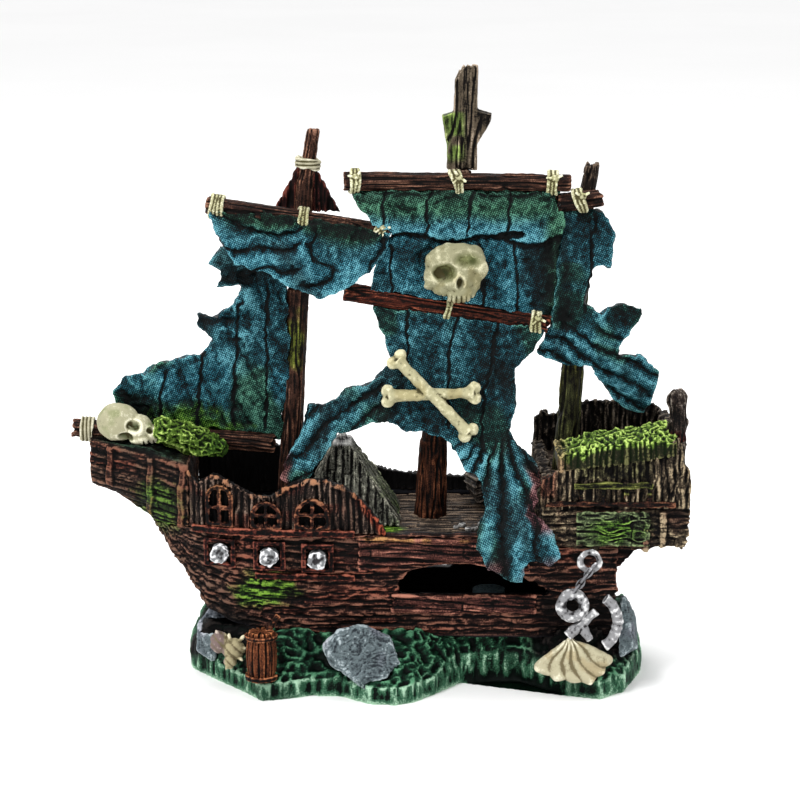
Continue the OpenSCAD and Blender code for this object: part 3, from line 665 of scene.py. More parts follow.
def make_lower_hull():
    s = copied("lower_hull", 0.52)
    x, y, z = s.p.T
    outer = step(np.abs(y) - side(x, z), -1.6, -0.8) * step(z, keel(x) + 0.2, keel(x) + 1.5)
    rows = hull_rows(x, z)
    rough = 0.5 * noise(s.p, (7, 7, 1.2), 5, 2) + 0.35 * ridged(s.p, (3.5, 3, 0.9), 6)
    lining = 0.35 * noise(s.p, 3, 7, 2)
    bow_end = step(-s.n[:, 0], 0.5, 0.8) * step(-48 - x, 0, 2)
    stern_end = step(s.n[:, 0], 0.5, 0.8) * step(x, 61, 63)
    ends = np.maximum(bow_end, stern_end)
    outer = np.maximum(outer, ends)
    along = lerp(x, y, ends)
    s.grain = np.stack([along, rows, y * 0.2], 1)
    s.push(lerp(lining, boards(along, rows, 2.8, 1, 0.5, 34) + rough - 0.25, outer))
    s.coat(HULL_RED, HULL_EDGE)
    weather(s)
    # Painted shade: black squares at the gun ports, for the dark openings
    for gx, gz in GUNS:
        port = step(3.2 - np.maximum(np.abs(x - gx), np.abs(z - gz)), 0, 0.5)
        s.daub(port, BLACK, SHADE_BLACK)
    # Painted shade: near-black under the overhanging stern and where the keel rises at the bow
    under = np.maximum(step(x, 40, 45) * step(27.5 - z, 0, 3), step(-31 - x, 0, 4) * step(22 - z, 0, 4))
    s.daub(0.93 * under, BLACK, SHADE_EDGE)
    # Painted shade: the bow is darkened towards its end, against the light that its curve catches
    s.daub(0.45 * step(-36 - x, 0, 12), (36, 30, 27), (112, 96, 82))
    # Painted shade: the inner faces of the hull are painted near-black
    s.daub(1 - outer, BLACK, (26, 27, 32))
    s.finish(WOOD, ["lower_hull"], "hull_wood")


def make_beak():
    s = copied("beak", 0.42)
    x, y, z = s.p.T
    slope = z + 0.16 * (x + 66)
    flank = step(np.abs(s.n[:, 1]), 0.3, 0.6)
    s.grain = np.stack([x, slope, y * 0.2], 1)
    posts = sum(
        step(1.1 - np.abs(x - at - 0.06 * (z - 55) + 0.4 * noise(s.p, 3, 8)), 0, 0.5)
        for at in (-74, -62.5, -53.6)
    )
    posts = np.clip(posts, 0, 1) * step(z, keel(x) + 1.5, keel(x) + 2.5) * step(63.5 - slope, 0, 0.6)
    rail = step(1.0 - np.abs(slope - 62.8), 0, 0.4) + step(0.9 - np.abs(slope - 57.2), 0, 0.4) * 0.4
    planks = boards(x, slope, 1.9, 13, 0.42, 12) * (1 - posts)
    carving = planks + 0.75 * posts + 0.6 * rail + 0.2 * noise(s.p, 1.5, 3)
    s.push(flank * carving + (1 - flank) * 0.5 * noise(s.p, 2, 5, 2))
    s.coat((44, 31, 27), (116, 88, 72))
    weather(s)
    worn = step(noise(s.p, 3, 27, 2), -0.4, 0.2)
    s.daub(0.7 * np.clip(posts + rail, 0, 1) * worn, (62, 35, 29), (132, 84, 66))
    deck = step(slope, 63.6, 64.4)
    s.daub(deck, (18, 26, 22), (46, 66, 52))
    s.finish(WOOD, ["beak"], "hull_wood")


def in_windows(x, z, grow):
    """Mask of the openings inside the arched frames."""
    mask = np.zeros(len(x))
    for centre, width, height in WINDOWS:
        half = width / 2 + grow
        top = WINDOW_Z + height - half
        inside = np.where(z < top, np.abs(x - centre), np.hypot(x - centre, z - top))
        mask = np.maximum(mask, step(half - inside, 0, 0.5) * step(z, WINDOW_Z - grow, WINDOW_Z - grow + 0.4))
    return mask


def make_bulwarks():
    for node, sign in (("bulwark_near", -1), ("bulwark_far", 1)):
        s = copied(node, 0.36)
        x, y, z = s.p.T
        outer = step(sign * y - side(x, z), -1.4, -0.6)
        top = np.interp(x, *RAIL.T) if sign < 0 else np.full(len(x), 90.0)
        lip = step(z, top - 1.5, top - 0.7) * step(noise(s.p, 1.8, 9, 2), -0.25, 0.2)
        siding = boards(z, x, 1.75, 17, 0.5, 60) + 0.35 * ridged(s.p, (0.9, 2, 6), 19) - 0.15
        panes = in_windows(x, z, -0.6)
        s.grain = np.stack([z, x, y * 0.2], 1)
        skin = lerp(siding, 0.75 * ridged(s.p, 1.5, 4) - 0.05, lip)
        s.push(skin * (0.35 + 0.65 * outer) - 0.5 * panes * outer)
        s.coat((50, 40, 36), (134, 112, 98))
        weather(s)
        slant = step(x, -8, -3) * step(z, top - 4, top - 2)
        s.daub(np.maximum(0.8 * lip, slant), (86, 54, 40), (170, 118, 84))
        s.daub(slant, (88, 36, 28), (160, 80, 58))
        # Painted shade: the inner faces of the bulwarks are painted near-black
        s.daub(1 - outer, SHADE_BLACK, SHADE_EDGE)
        # Painted shade: the window openings are painted black for the dark inside them
        s.daub(panes * outer, BLACK, SHADE_BLACK)
        s.finish(WOOD, [node], "hull_wood")


def make_trims():
    for node, voxel, base, tip in (
        ("waist_strake", 0.36, (94, 55, 49), (184, 124, 104)),
        ("wales", 0.26, (84, 40, 34), (160, 92, 72)),
        ("window_frames", 0.28, (76, 42, 33), (150, 98, 72)),
        ("gunport_frames", 0.26, (70, 34, 30), (140, 78, 64)),
        ("stern_counter", 0.5, (38, 25, 23), (100, 66, 56)),
    ):
        s = copied(node, voxel)
        x, y, z = s.p.T
        s.grain = np.stack([x, z, y * 0.2], 1)
        if node in ("waist_strake", "stern_counter"):
            s.push(boards(x, z + 0.06 * x, 2.3, 29, 0.5, 30) + 0.5 * noise(s.p, (6, 3, 1.0), 3, 2))
        else:
            pitted(s, 0.3, (1.6, 1.6, 1.2), 4)
        s.coat(base, tip)
        if node == "waist_strake":
            edge = step(z, 41.4, 42.6) * step(-y, 0, 2)
            s.daub(edge * step(noise(s.p, 2.5, 8), -0.3, 0.3), (110, 72, 44), (190, 142, 92))
            s.daub(0.6 * step(34.6 - z, 0, 1) * step(z, 26, 30), (84, 32, 28), (150, 70, 56))
        if node == "window_frames":
            s.daub(0.6 * step(z, 52, 56), (96, 62, 40), (174, 126, 84))
        s.finish(WOOD, [node], "hull_wood" if node == "stern_counter" else "hull_trim")


def make_cannons():
    bm = node_mesh("cannons")
    for sign in (-1, 1):
        for k, (gx, gz) in enumerate(GUNS):
            mouth = max(sign * v.co.y for v in bm.verts if abs(v.co.x - gx) < 3)
            add_ball(bm, (gx + 0.2, sign * (mouth - 1.0), gz), (1.3, 1.0 - 0.15 * k, 1.3))
    s = Sculpt("cannons_look", bm, 0.3)
    s.warp(0.55, 1.9)
    pitted(s, 0.45, 1.1)
    s.coat((150, 152, 154), (240, 240, 242))
    x, y, z = s.p.T
    bore = np.zeros(len(x))
    for gx, gz in GUNS:
        bore = np.maximum(bore, 0.8 * step(0.7 - np.hypot(x - gx - 0.5, z - gz - 0.2), 0, 0.4))
    # Painted shade: black in the muzzles and on the parts of the guns that sit inside the hull
    s.daub(np.maximum(bore, step(side(x, z) - np.abs(y), 1.2, 2.4)), BLACK, SHADE_BLACK)
    s.finish(SILVER, ["cannons"], "silver_paint")


# ---- Stern castle and deck ----


def castle_wall(node, near):
    s = copied(node, 0.42)
    s.warp(0.8, 3.6)
    x, y, z = s.p.T
    flat = y if node in ("transom", "castle_front") else x
    upright = boards(z, flat, 1.7, 31, 0.55, 14) + 0.5 * ridged(s.p, (1.1, 1.1, 5), 33) - 0.2
    level = boards(flat, z, 2.4, 37, 0.5, 9) + 0.35 * ridged(s.p, (4, 4, 0.9), 35) - 0.15
    low = step(51.5 - z, 0, 1.5)
    s.grain = lerp(np.stack([z, flat, y * 0.2], 1), np.stack([flat, z, y * 0.2], 1), low)
    s.push(lerp(upright, level, low))
    if near:
        for at in (70.9, 75.6):
            s.push(0.8 * step(1.1 - np.abs(x - at), 0, 0.5) * step(-y, 25, 25.4) * step(50.5 - z, 0, 1))
    s.coat((79, 68, 55), (180, 161, 130))
    s.daub(0.6 * step(noise(s.p, 7, 41, 2), 0.05, 0.5), (26, 23, 21), (84, 76, 66))
    s.daub(0.7 * low * step(noise(s.p, 6, 43, 2), -0.1, 0.3), (58, 34, 31), (130, 82, 68))
    if near:
        s.daub(0.75 * step(z, 58, 60) * step(x, 50, 54) * step(74 - x, 0, 4), (58, 58, 38), (132, 134, 88))
        s.daub(spot(s, 62, 45, 10, 4.5), (64, 98, 42), (136, 176, 84))
        s.daub(0.7 * step(48 - x, 0, 2) * step(z, 52, 55), (76, 36, 30), (146, 80, 62))
    else:
        s.daub(0.75 * step(z, 55, 57), (34, 31, 31), (96, 88, 84))
    s.finish(WOOD, [node], "castle_wood")


def make_castle():
    castle_wall("castle_side_near", True)
    for node in ("castle_side_far", "transom", "castle_front"):
        castle_wall(node, False)
    s = copied("castle_rails", 0.26)
    s.warp(0.5, 3.2)
    s.push(0.3 * noise(s.p, (3, 1.5, 0.8), 4, 2) - 0.22)
    s.coat((72, 42, 33), (138, 92, 68))
    s.daub(step(s.p[:, 2], 54, 55.5), (78, 82, 40), (140, 144, 78))
    s.grain = s.p[:, [0, 2, 1]]
    s.finish(WOOD, ["castle_rails"], "castle_wood")
    s = copied("stern_door", 0.24)
    s.push(0.4 * ridged(s.p, (2.4, 2, 0.9), 5) - 0.2)
    s.coat((72, 84, 58), (138, 154, 108))
    s.daub(spot(s, 62.5, 45, 8.5, 3.6), (82, 120, 46), (154, 194, 88))
    s.finish(WOOD, ["stern_door"], "castle_wood")
    s = copied("taffrail_post", 0.34)
    bark(s, [(79, -18.5, 66), (79.6, -18.5, 82)], 0.6, 6)
    pitted(s, 0.4, 1.8)
    s.coat((54, 44, 39), (138, 128, 118))
    s.daub(step(72 - s.p[:, 2], 0, 2), (70, 28, 26), (150, 74, 64))
    s.finish(WOOD, ["taffrail_post"], "castle_wood")


def make_decks():
    for node, voxel in (("main_deck", 0.55), ("poop_deck", 0.5)):
        s = copied(node, voxel)
        x, y, z = s.p.T
        s.grain = np.stack([x, y, z * 0.3], 1)
        planks = boards(x, y, 2.6, 47, 0.5, 15) + 0.25 * noise(s.p, (4, 1, 1), 3, 2)
        s.push(step(s.n[:, 2], 0.3, 0.7) * planks)
        s.coat((62, 52, 45), (136, 116, 98))
        # Painted shade: near-black over the forward deck, which lies deep between the bulwarks
        s.daub(0.9 * step(-21 - x, 0, 4), (12, 14, 12), (34, 42, 34))
        s.daub(spot_on_deck(s, -1, -16, 8, 5), (74, 112, 30), (142, 186, 66))
        s.finish(WOOD, [node], "deck_grey")


def spot_on_deck(s, x, y, wide, deep):
    away = np.hypot((s.p[:, 0] - x) / wide, (s.p[:, 1] - y) / deep)
    return step(1.15 - away + 0.4 * noise(s.p, 2, 6, 2), 0, 0.5)


def make_deckhouse():
    s = copied("deckhouse", 0.38)
    x, y, z = s.p.T
    slope = np.where(np.abs(s.n[:, 0]) > np.abs(s.n[:, 1]), y, x)
    s.grain = np.stack([z, slope, x * 0.1], 1)
    planks = boards(z, slope, 2.1, 53, 0.6, 13) + 0.3 * ridged(s.p, (1.2, 1.2, 6), 55) - 0.1
    s.push(step(63.5 - z, 0, 1) * planks)
    s.coat((110, 110, 99), (193, 190, 172))
    s.daub(0.5 * step(noise(s.p, 6, 57, 2), 0, 0.4), (66, 60, 56), (134, 124, 112))
    s.daub(0.85 * step(x - 0.5 * (58 - z), -6, -1) * step(noise(s.p, 4, 59, 2), -0.35, 0.1),
           (56, 74, 34), (116, 142, 68))
    s.daub(step(z, 63.6, 64.2), (190, 188, 184), (240, 238, 232))
    s.finish(WOOD, ["deckhouse"], "deck_grey")
    s = copied("deck_barrel", 0.36)
    x, y, z = s.p.T
    s.grain = np.stack([x + 0.35 * z, z - 0.35 * x, y * 0.2], 1)
    s.push(boards(s.grain[:, 0], s.grain[:, 1], 0.95, 61, 0.3, 40) + 0.3 * noise(s.p, 2.4, 6))
    s.coat((92, 82, 73), (158, 146, 132))
    s.finish(WOOD, ["deck_barrel"], "deck_grey")
    s = copied("silver_coins", 0.2)
    pitted(s, 0.2, 0.9)
    s.coat((170, 168, 164), (246, 244, 240))
    s.finish(SILVER, ["silver_coins"], "silver_paint")


# ---- Spars ----

FORE_MAST = [(-26, 0, 41), (-22.5, 0, 106), (-20.5, 0, 136), (-18, 0, 150)]
MAIN_MAST = [(13.5, 0, 41), (14.5, 0, 64), (22, 0, 139), (23, 0, 168)]
MIZZEN_MAST = [(50.5, 0, 54), (52.5, 0, 84), (55.5, 0, 130), (57, 0, 141)]
FORE_YARD = [(-47, -5.5, 130), (3, -5.5, 122.5)]
TOPSAIL_YARD = [(-10, -5.5, 136.5), (51, -5.5, 136)]
MAIN_YARD = [(-10, -5.5, 106.5), (46, -5.5, 97.5)]
MIZZEN_YARD = [(47, -5.5, 130.5), (60, -5.5, 132)]
BOWSPRIT = [(-85, -2, 68), (-29, -2, 63.5)]
BROWN, BROWN_EDGE = (74, 48, 38), (146, 106, 86)


def make_masts():
    s = copied("fore_mast", 0.36)
    bark(s, FORE_MAST, 0.55, 3)
    s.coat(BROWN, BROWN_EDGE)
    s.daub(0.8 * step(noise(s.p, (3, 3, 14), 5), 0, 0.5), (62, 38, 29), (134, 92, 70))
    s.daub(spot(s, -23.5, 92, 3, 9), (96, 104, 40), (164, 174, 76))
    s.finish(SPAR, ["fore_mast"], "spar_brown")
    s = copied("main_mast", 0.4)
    bark(s, MAIN_MAST, 0.6, 7)
    s.coat((80, 46, 32), (138, 86, 60))
    s.daub(step(s.p[:, 2], 100, 120), (58, 40, 34), (130, 104, 88))
    s.finish(SPAR, ["main_mast"], "spar_brown")
    s = copied("mizzen_mast", 0.38)
    bark(s, MIZZEN_MAST, 0.6, 11)
    ragged_end(s, 2, 141, 4, 2.2)
    s.coat((62, 64, 38), (122, 124, 76))
    s.daub(0.7 * step(noise(s.p, (3, 3, 12), 6), 0, 0.5), (40, 38, 20), (98, 92, 44))
    s.daub(step(s.p[:, 2], 124, 132), (38, 30, 26), (104, 88, 74))
    s.finish(SPAR, ["mizzen_mast"], "spar_olive")
    s = copied("main_top", 0.34)
    bark(s, MAIN_MAST, 0.6, 13)
    ragged_end(s, 2, 167.5, 5, 2.6)
    s.coat((104, 92, 76), (180, 162, 142))
    lime = step(22.5 - s.p[:, 0], -1, 1.5) * step(155 - s.p[:, 2], 0, 1) * step(s.p[:, 2], 140.5, 143)
    s.daub(lime * step(noise(s.p, 3, 8), -0.5, 0.0), (118, 142, 70), (188, 212, 124))
    s.finish(SPAR, ["main_top"], "spar_brown")


def make_yards():
    for node, line, seed in (
        ("fore_yard", FORE_YARD, 21), ("topsail_yard", TOPSAIL_YARD, 23), ("main_yard", MAIN_YARD, 25),
        ("mizzen_yard", MIZZEN_YARD, 27), ("bowsprit", BOWSPRIT, 29),
    ):
        s = copied(node, 0.34)
        bark(s, line, 0.5, seed)
        for at in (line[0][0], line[1][0]):
            ragged_end(s, 0, at, 2.5, 1.2, seed)
        s.coat(BROWN, BROWN_EDGE)
        s.daub(0.8 * step(noise(s.p, (12, 3, 3), seed), 0, 0.4), (44, 27, 24), (110, 74, 60))
        if node == "main_yard":
            s.daub(0.6 * step(-3 - s.p[:, 1], 0, 2), (98, 40, 26), (166, 82, 54))
        s.finish(SPAR, [node], "spar_brown")
    s = copied("shroud_plate", 0.34)
    s.grain = s.p[:, [2, 0, 1]]
    s.push(boards(s.p[:, 2], s.p[:, 0], 2.2, 5, 0.4, 30) + 0.2 * noise(s.p, 2, 4))
    s.coat((48, 24, 23), (112, 58, 48))
    s.finish(SPAR, ["shroud_plate"], "hull_trim")
    s = copied("spar_bands", 0.24)
    across = np.where(s.p[:, 2] > 100, s.p[:, 2], s.p[:, 0])
    s.push(0.3 * np.abs(np.cos(across * 3.1)) - 0.1 + 0.25 * noise(s.p, 1.6, 6))
    s.coat((206, 200, 170), (240, 236, 214))
    s.finish(ROPE, ["spar_bands"], "rope_cream")


def add_rope_ring(bm, centre, axis, major, minor, seed):
    """One turn of laid rope."""
    turn = Vector(axis).to_track_quat("Z", "X").to_matrix().to_4x4()

    def place(a, b):
        lean = 0.18 * math.sin(a * 2 + seed)
        thick = minor * (1 + 0.16 * math.cos(3 * b + 30 * a))
        r = major + thick * math.cos(b)
        return Vector(centre) + turn @ Vector((r * math.cos(a), r * math.sin(a), lean + thick * math.sin(b)))

    add_loop(bm, 72, 12, place)


def make_lashings():
    """Turns of rope where the sails are tied to the yards; some carry a knot."""
    bm = bmesh.new()
    knots = []
    for k, (line, share, turns, knot) in enumerate((
        (FORE_YARD, 0.06, 4, False), (FORE_YARD, 0.52, 3, False), (FORE_YARD, 0.94, 3, True),
        (TOPSAIL_YARD, 0.05, 3, True), (TOPSAIL_YARD, 0.5, 3, True), (TOPSAIL_YARD, 0.92, 3, True),
        (MAIN_YARD, 0.5, 2, False), (MAIN_YARD, 0.93, 3, True), (MIZZEN_YARD, 0.5, 3, True),
    )):
        a, b = np.array(line[0]), np.array(line[1])
        axis = (b - a) / np.linalg.norm(b - a)
        middle = a + (b - a) * share
        lean = np.array([0, 0.1 * math.sin(2.3 * k), 0.22 * math.sin(1.7 * k + 1) if knot else 0])
        for i in range(turns):
            cross = lean * (1.6 if i == 0 else 1)
            add_rope_ring(bm, middle + axis * (i - (turns - 1) / 2) * 0.95, axis + cross, 3.0, 0.52, k + i)
        if knot:
            knots.append(middle + [0.4, -2.9, 1.4])
    bmesh.ops.recalc_face_normals(bm, faces=bm.faces)
    for k, at in enumerate(knots):
        add_ball(bm, at, (1.1, 0.8, 1.0))
        for i in range(3):
            turn = 1.9 * i + k
            add_spike(bm, at, at + np.array([2.3 * math.cos(turn), -0.6, 2.0 * math.sin(turn)]), 0.55, 0.3)
    s = Sculpt("yard_lashings_look", bm, 0.2)
    pitted(s, 0.1, 0.8)
    s.coat((204, 200, 156), (240, 238, 208), 0.24, 0.16)
    s.daub(0.35 * step(noise(s.p, 5, 3), 0, 0.4), (178, 178, 112), (226, 226, 170))
    s.finish(ROPE, ["yard_lashings"], "rope_cream")


# ---- Sails ----


def drop(s, a, b):
    """How far a point hangs below the straight line between two lashings, along a swag."""
    a, b = np.array(a), np.array(b)
    flat = s.p[:, [0, 2]]
    span = np.linalg.norm(b - a)
    extra = np.linalg.norm(flat - a, axis=1) + np.linalg.norm(flat - b, axis=1) - span
    return np.sqrt(np.maximum(extra, 0) * span / 2)


def rounded_folds(phase):
    """Height of folds that are full on top and sharp between, one for each whole step of phase."""
    return np.abs(np.sin(np.pi * phase)) ** 0.55 - 0.6


def seam_at(s, path):
    """Mask that is 1 along a seam, given as (x, z) points from the top down, and fades to 0 beside it."""
    path = np.array(path)[::-1]
    x, z = s.p[:, 0], s.p[:, 2]
    inside = step(z, path[0, 1] - 1, path[0, 1] + 1) * step(path[-1, 1] - z, -1, 1)
    wander = 0.5 * noise(s.p * [0, 0, 1], 5, 5, 2)
    return np.exp(-(((x - np.interp(z, path[:, 1], path[:, 0]) + wander) / 0.34) ** 2)) * inside


def all_seams(s, *paths):
    """Mask of several seams."""
    return np.max([seam_at(s, path) for path in paths], axis=0)


def finish_sail(s, node, height, green, seams=None, painted_shade=None, painted_highlight=None, maroon=None, mossy=None):
    """Shapes and paints a sail, with painted highlights and painted shade in its folds; height moves it to the
    front, and both faces move together.
    """
    s.shift((0, -1, 0), height)
    s.warp(0.9, 4.2)
    s.warp(0.5, 1.5, 75)
    s.push(0.12 * noise(s.p, 1.2, 3))
    s.coat(TEAL, TEAL_EDGE, 0.05, 0.08)
    # Dry brush together with painted light and shade: the relief rises where the sail bulges forward and falls
    # in the hollows between folds
    fold = (height - np.median(height)) / (np.std(height) + 1e-6)
    s.relief = s.relief + 0.02 + 0.11 * np.clip(fold, -2, 1.5)
    s.grain = np.stack([s.p[:, 0] + 0.4 * s.p[:, 2], s.p[:, 2] - 0.4 * s.p[:, 0], s.p[:, 1]], 1)
    s.daub(green, SEA_GREEN, SEA_EDGE)
    # Painted highlight: a lighter blue on the fold tops
    if painted_highlight is not None:
        s.daub(painted_highlight, (38, 106, 126), (112, 178, 192))
        s.relief = s.relief + 0.06 * painted_highlight
    # Painted shade: dark patches in the folds and under the yards
    if painted_shade is not None:
        s.daub(0.8 * painted_shade, (26, 26, 22), (52, 84, 80))
        s.relief = s.relief - 0.16 * painted_shade
    if maroon is not None:
        s.daub(0.8 * maroon, (84, 36, 37), (158, 92, 90))
    if mossy is not None:
        s.daub(mossy, (66, 112, 40), (146, 194, 80))
    # The seams also carry the topsail's painted shadow under its torn edge
    if seams is not None:
        s.relief = s.relief - 0.7 * seams
    s.finish(CANVAS, [node], "sail_blue")


def make_fore_course():
    s = copied("fore_course", 0.36)
    left, middle, right = (-44, 129.6), (-21, 126.1), (0, 123)
    drop_left, drop_right = drop(s, left, middle), drop(s, middle, right)
    x, _, z = s.p.T
    pick = step(x, -23.5, -19.5)
    depth = lerp(drop_left, drop_right, pick)
    wander = 0.5 * noise(s.p, 8, 31)
    left_folds = rounded_folds(drop_left / 4.6 + wander + 0.1) * step(-15 - x, 0, 6)
    fan = np.arctan2(x + 23, 131 - z) * 3.3 - 0.05 * (126 - z)
    right_folds = rounded_folds(lerp(fan, drop_right / 3.7, 0.5) + wander + 0.35)
    height = 1.6 * lerp(left_folds, right_folds, pick) * step(depth, 0.5, 4) + 0.05 * depth
    green = step(6.5 - depth, 0, 4)
    # Painted shade along a fold below the middle lashing and where the sail hangs close under the yard
    painted_shade = 0.8 * np.maximum(
        np.exp(-((x + 26 + 0.6 * (z - 118)) ** 2) / 11) * step(122 - z, 0, 3), 0.45 * step(3.6 - depth, 0, 3)
    )
    # Painted highlight on the fold tops lower down the sail
    painted_highlight = step(height, 0.1, 0.9) * step(depth, 6, 10)
    finish_sail(s, "fore_course", height, green, painted_shade=painted_shade, painted_highlight=0.8 * painted_highlight)


def make_jib():
    s = copied("jib", 0.4)
    x, _, z = s.p.T
    bend = s.p + np.stack([0.5 * (z - 90), 0 * z, 0 * z], 1)
    folds = rounded_folds(bend[:, 0] / 6.5 + 0.4 * noise(s.p, 12, 8))
    height = 1.3 * noise(bend, (5.5, 9, 26), 3) + 0.6 * folds
    curl = step(z - (97 - 0.35 * (x + 45)), -3, 1) * step(z, 88, 93) * step(-33 - x, 0, 4)
    height = height + 1.5 * curl * np.sin((z - 90) * 0.55)
    seams = all_seams(
        s, [(-59, 84), (-60.5, 76), (-61, 68)], [(-48.5, 92), (-50, 80), (-50.5, 68)],
        [(-38, 104), (-40.2, 84), (-40.6, 68)], [(-31, 108), (-31.4, 84), (-31.6, 68)],
    )
    height = height - 0.5 * seams
    green = 0.9 * step(noise(s.p, 11, 6, 2) + 0.025 * (86 - z), -0.1, 0.2)
    # Painted light in patches, painted shade in patches between them, and painted highlight low on the sail
    painted_light_patches = step(noise(s.p, 9, 12), 0.1, 0.5)
    painted_shade = 0.75 * step(noise(s.p, (8, 8, 14), 9), 0.05, 0.45) * (1 - painted_light_patches)
    painted_highlight = 0.7 * painted_light_patches * step(z, 66, 72)
    finish_sail(s, "jib", height, green, seams, painted_shade, painted_highlight, mossy=spot(s, -53, 68, 15, 6.5))


def make_main_topsail():
    s = copied("main_topsail", 0.38)
    x, _, z = s.p.T
    depth = np.minimum(drop(s, (-7, 136.5), (20.5, 136.2)), drop(s, (20.5, 136.2), (46, 136)))
    swag = 0.9 * rounded_folds(depth / 3.4) * step(9 - depth, 0, 5)
    tear_line = 121.6 + 0.9 * np.cos((x - 8) * 0.3) - 0.03 * (x - 20)
    lower = step(tear_line - z, -0.25, 0.25)
    height = swag + 1.2 * (1 - lower) - 0.5 * np.exp(-(((z - tear_line + 0.7) / 0.8) ** 2))
    upper_seams = [[(top, 134), (top - 1.8, 122)] for top in (1.5, 13.4, 24.8, 35)]
    lower_seams = [[(top, 120), (top + 0.8, 99)] for top in (3, 27, 36.5)]
    seams = all_seams(s, *upper_seams, *lower_seams)
    height = height + 0.35 * noise(s.p, (6, 9, 12), 5) - 0.4 * seams
    hole = step(1 - np.hypot((x - 35.5) / 4.3, (z - 122.4) / 1.3) + 0.2 * noise(s.p, 2, 3), 0, 0.3)
    height = height - 1.4 * hole
    web = np.exp(-((x - 46) ** 2) / 14) * np.abs(noise(s.p, (1.5, 3, 5), 8))
    green = np.maximum(step(z, 124, 129), step(x, 42, 46))
    # Painted shade in the hole, in patches on the lower part and in a band under the yard
    painted_shade = np.maximum(hole, 0.6 * lower * step(noise(s.p, 9, 15, 2) + 0.02 * (x - 20), 0.05, 0.4))
    painted_shade = np.maximum(painted_shade, 0.6 * step(z, 130, 133))
    # Painted shadow: a dark line under the torn edge, passed on with the seams
    under = np.exp(-(((z - tear_line) / 0.5) ** 2))
    patches = step(noise(s.p, 9, 15, 2), 0.2, -0.2)
    # Painted highlight: lighter cloth low on the upper panel and in patches on the lower one
    pale = np.maximum(0.5 * step(127 - z, 0, 4) * (1 - lower), 0.7 * lower * patches)
    painted_highlight = pale * step(44 - x, 0, 4)
    height = height + 0.3 * noise(s.p, (3, 9, 2), 44)
    finish_sail(s, "main_topsail", height - 0.8 * web, green, np.maximum(seams, under), painted_shade, painted_highlight)


def make_main_course():
    s = copied("main_course", 0.4)
    x, _, z = s.p.T
    arm = step(6 - x, 0, 8) * step(86 - z, 0, 5)
    drape = step(70 - z, 0, 8) * (1 - arm)
    along_arm = rounded_folds((0.75 * z - 0.66 * x) / 5.2 + 0.35 * noise(s.p, 9, 7))
    fan = rounded_folds(np.arctan2(x - 33, np.maximum(72 - z, 6)) * 3.6 + 0.3 * noise(s.p, 10, 8))
    swag = 0.35 * rounded_folds(drop(s, (-2, 105), (40, 98)) / 4.5) * step(z, 88, 94)
    sheet = 0.6 * noise(s.p, (7, 9, 22), 4) + swag
    height = lerp(lerp(sheet, 1.2 * along_arm, arm), 1.3 * fan, drape)
    seams = all_seams(
        s, [(7.6, 102), (6.9, 90), (6, 84)], [(21.5, 101), (18.4, 90), (17.8, 78), (18, 70)],
        [(32.5, 100), (30.1, 87.5), (27.2, 75), (27.4, 62)],
    )
    height = height - 0.5 * seams
    green = 0.8 * np.maximum(step(noise(s.p, (10, 10, 14), 6, 2), 0.0, 0.35), step(z, 98, 103))
    # Painted shade in patches, except near the top
    painted_shade = 0.7 * step(noise(s.p, (6, 8, 16), 10, 2), 0.05, 0.4) * (1 - step(z, 84, 92))
    edge = np.interp(z, [42, 50, 57, 66], [43.5, 38.5, 40.5, 35.5])
    hem = np.maximum(
        step(x - edge, -0.5, 0.8) * step(z, 44, 47) * step(62 - z, 0, 3),
        step(-23.8 - x, 0, 1.5) * step(66 - z, 0, 4),
    )
    base_hem = 0.75 * step(40.5 - z, 0, 4) * step(noise(s.p, 3, 18), -0.1, 0.4)
    # Painted highlight on the fold tops
    painted_highlight = step(height, 0.1, 1.0) * np.maximum(0.4 * arm, 1.5 * drape)
    finish_sail(s, "main_course", height, green, seams, painted_shade, np.clip(painted_highlight, 0, 1), np.maximum(hem, base_hem))


def make_mizzen_sail():
    s = copied("mizzen_sail", 0.38)
    x, _, z = s.p.T
    tail = step(100 - z, 0, 6)
    swirl = rounded_folds((z + 0.55 * x) / 5.4 + 0.4 * noise(s.p, 10, 5))
    seams = all_seams(s, [(57.5, 128), (56.6, 112), (55, 101)])
    height = lerp(1.0 * noise(s.p, (5, 8, 16), 3), 1.2 * swirl, tail) - 0.5 * seams
    green = 0.8 * step(noise(s.p, 10, 4, 2), 0.05, 0.35)
    # Painted shade in patches, and painted highlight on the fold tops
    painted_shade = 0.7 * step(noise(s.p, (6, 8, 12), 11, 2), 0.08, 0.4)
    finish_sail(s, "mizzen_sail", height, green, seams, painted_shade, 0.8 * step(height, 0.1, 0.8))


# ---- Skulls, bones and moss ----


def dent(s, centre, radii, depth):
    """Presses a soft hollow into a piece."""
    away = np.linalg.norm((s.start - np.array(centre)) / np.array(radii), axis=1)
    hollow = step(1.15 - away, 0, 0.75)
    s.push(-depth * hollow)
    return hollow


